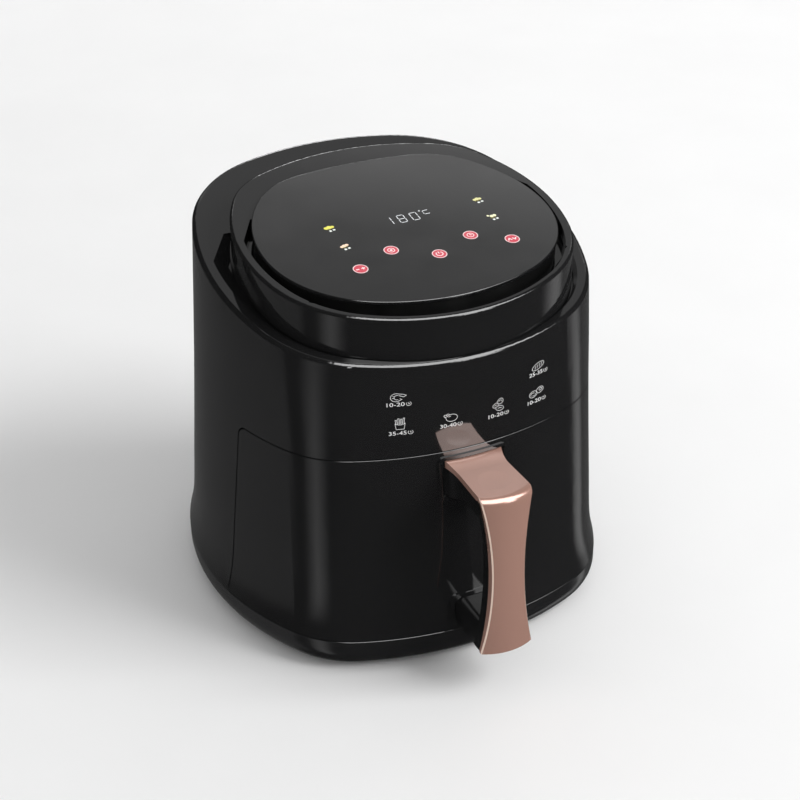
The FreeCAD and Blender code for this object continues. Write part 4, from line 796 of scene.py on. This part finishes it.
def area_light(name, place, target, width, height, watts):
    """A soft light that only lights matt surfaces: reflections come from the world."""
    light = bpy.data.lights.new(name, "AREA")
    light.shape = "RECTANGLE"
    light.size = width
    light.size_y = height
    light.energy = watts
    obj = bpy.data.objects.new(name, light)
    obj.location = place
    obj.rotation_euler = (Vector(target) - Vector(place)).to_track_quat("-Z", "Y").to_euler()
    bpy.context.scene.collection.objects.link(obj)
    obj.visible_glossy = False
    obj.visible_camera = False


# Soft boxes as the reflections see them: centre azimuth from the front towards +X, half
# width, lowest and highest elevation, edge softness, all in degrees, and brightness.
SOFT_BOXES = [
    (-62.5, 8.0, -62.0, -22.0, 19.0, 0.31),
    (91.0, 8.0, -62.0, -22.0, 14.0, 0.46),
    (180.0, 88.0, -62.0, -22.0, 11.0, 0.08),
    (12.0, 50.0, 22.0, 76.0, 14.0, 4.4),
    (26.0, 9.0, -2.0, 26.0, 7.0, 3.6),
    (150.0, 26.0, 32.0, 35.6, 4.0, 0.60),
    (150.0, 26.0, 20.0, 90.0, 9.0, 0.26),
    (156.0, 8.0, 12.0, 26.0, 5.0, 4.0),
]
# The rest of the room, between the soft boxes.
GLOSS_AMBIENT = 0.02


class WorldTree:
    """The world's node tree, with short ways to add arithmetic to it."""

    def __init__(self, world):
        world.use_nodes = True
        self.tree = world.node_tree

    def math(self, kind, a, b=None, c=None):
        """One arithmetic node; a, b and c are numbers or other nodes' outputs."""
        node = self.tree.nodes.new("ShaderNodeMath")
        node.operation = kind
        for socket, value in zip(node.inputs, (a, b, c)):
            if isinstance(value, (int, float)):
                socket.default_value = value
            elif value is not None:
                self.tree.links.new(value, socket)
        return node.outputs[0]

    def step(self, value, low, high):
        """0 below low, 1 above high, smooth between."""
        node = self.tree.nodes.new("ShaderNodeMapRange")
        node.interpolation_type = "SMOOTHSTEP"
        node.inputs["From Min"].default_value = low
        node.inputs["From Max"].default_value = high
        self.tree.links.new(value, node.inputs["Value"])
        return node.outputs["Result"]


def box_window(w, away, elevation, half, low, high, soft):
    """1 inside a soft box's field of directions and 0 outside, with soft edges."""
    inside = w.math("SUBTRACT", 1.0, w.step(away, half - soft / 2, half + soft / 2))
    over = w.step(elevation, low - soft / 2, low + soft / 2)
    under = w.math("SUBTRACT", 1.0, w.step(elevation, high - soft / 2, high + soft / 2))
    return w.math("MULTIPLY", inside, w.math("MULTIPLY", over, under))


def soft_box_room(w):
    """The brightness that a glossy surface mirrors from each direction."""
    coord = w.tree.nodes.new("ShaderNodeTexCoord")
    split = w.tree.nodes.new("ShaderNodeSeparateXYZ")
    w.tree.links.new(coord.outputs["Generated"], split.inputs[0])
    x, y, z = split.outputs
    azimuth = w.math("DEGREES", w.math("ARCTAN2", x, w.math("MULTIPLY", y, -1.0)))
    elevation = w.math("DEGREES", w.math("ARCSINE", z))
    total = GLOSS_AMBIENT
    for centre, half, low, high, soft, brightness in SOFT_BOXES:
        turn = w.math("SUBTRACT", azimuth, centre)
        away = w.math("ABSOLUTE", w.math("WRAP", turn, 180.0, -180.0))
        window = box_window(w, away, elevation, half, low, high, soft)
        total = w.math("ADD", total, w.math("MULTIPLY", window, brightness))
    return total


def make_world():
    """White to the camera and to matt surfaces; soft boxes in a dark room to glossy ones."""
    world = bpy.data.worlds.new("studio")
    bpy.context.scene.world = world
    w = WorldTree(world)
    plain = w.tree.nodes.new("ShaderNodeBackground")
    mirrored = w.tree.nodes["Background"]
    for background in (plain, mirrored):
        background.inputs["Color"].default_value = (1.0, 1.0, 1.0, 1.0)
    plain.inputs["Strength"].default_value = PLAIN_BRIGHTNESS
    w.tree.links.new(soft_box_room(w), mirrored.inputs["Strength"])
    path = w.tree.nodes.new("ShaderNodeLightPath")
    mix = w.tree.nodes.new("ShaderNodeMixShader")
    w.tree.links.new(path.outputs["Is Glossy Ray"], mix.inputs[0])
    w.tree.links.new(plain.outputs[0], mix.inputs[1])
    w.tree.links.new(mirrored.outputs[0], mix.inputs[2])
    w.tree.links.new(mix.outputs[0], w.tree.nodes["World Output"].inputs["Surface"])


# The photo's angle: from 25 degrees left of the front and 31 degrees above, at 1.3 m.
CAMERA_TARGET = (0.00706, -0.00332 + HOUSING_Y, 0.1259)
CAMERA_DISTANCE = 1.2951
CAMERA_BACK = (-0.36348, -0.77404, 0.51841)
CAMERA_LENS = 81.03
CAMERA_SENSOR = 36.0
CAMERA_CLIP_END = 60.0


def make_camera():
    """A long lens, backed off from its target along CAMERA_BACK."""
    camera = bpy.data.cameras.new("camera")
    camera.lens = CAMERA_LENS
    camera.sensor_width = CAMERA_SENSOR
    camera.clip_end = CAMERA_CLIP_END
    obj = bpy.data.objects.new("camera", camera)
    back = Vector(CAMERA_BACK)
    obj.location = Vector(CAMERA_TARGET) + back * CAMERA_DISTANCE
    obj.rotation_euler = (-back).to_track_quat("-Z", "Y").to_euler()
    bpy.context.scene.collection.objects.link(obj)
    bpy.context.scene.camera = obj


make_floor()
make_world()
for light in LIGHTS:
    area_light(*light)
make_camera()
bpy.context.scene.view_settings.view_transform = "Standard"
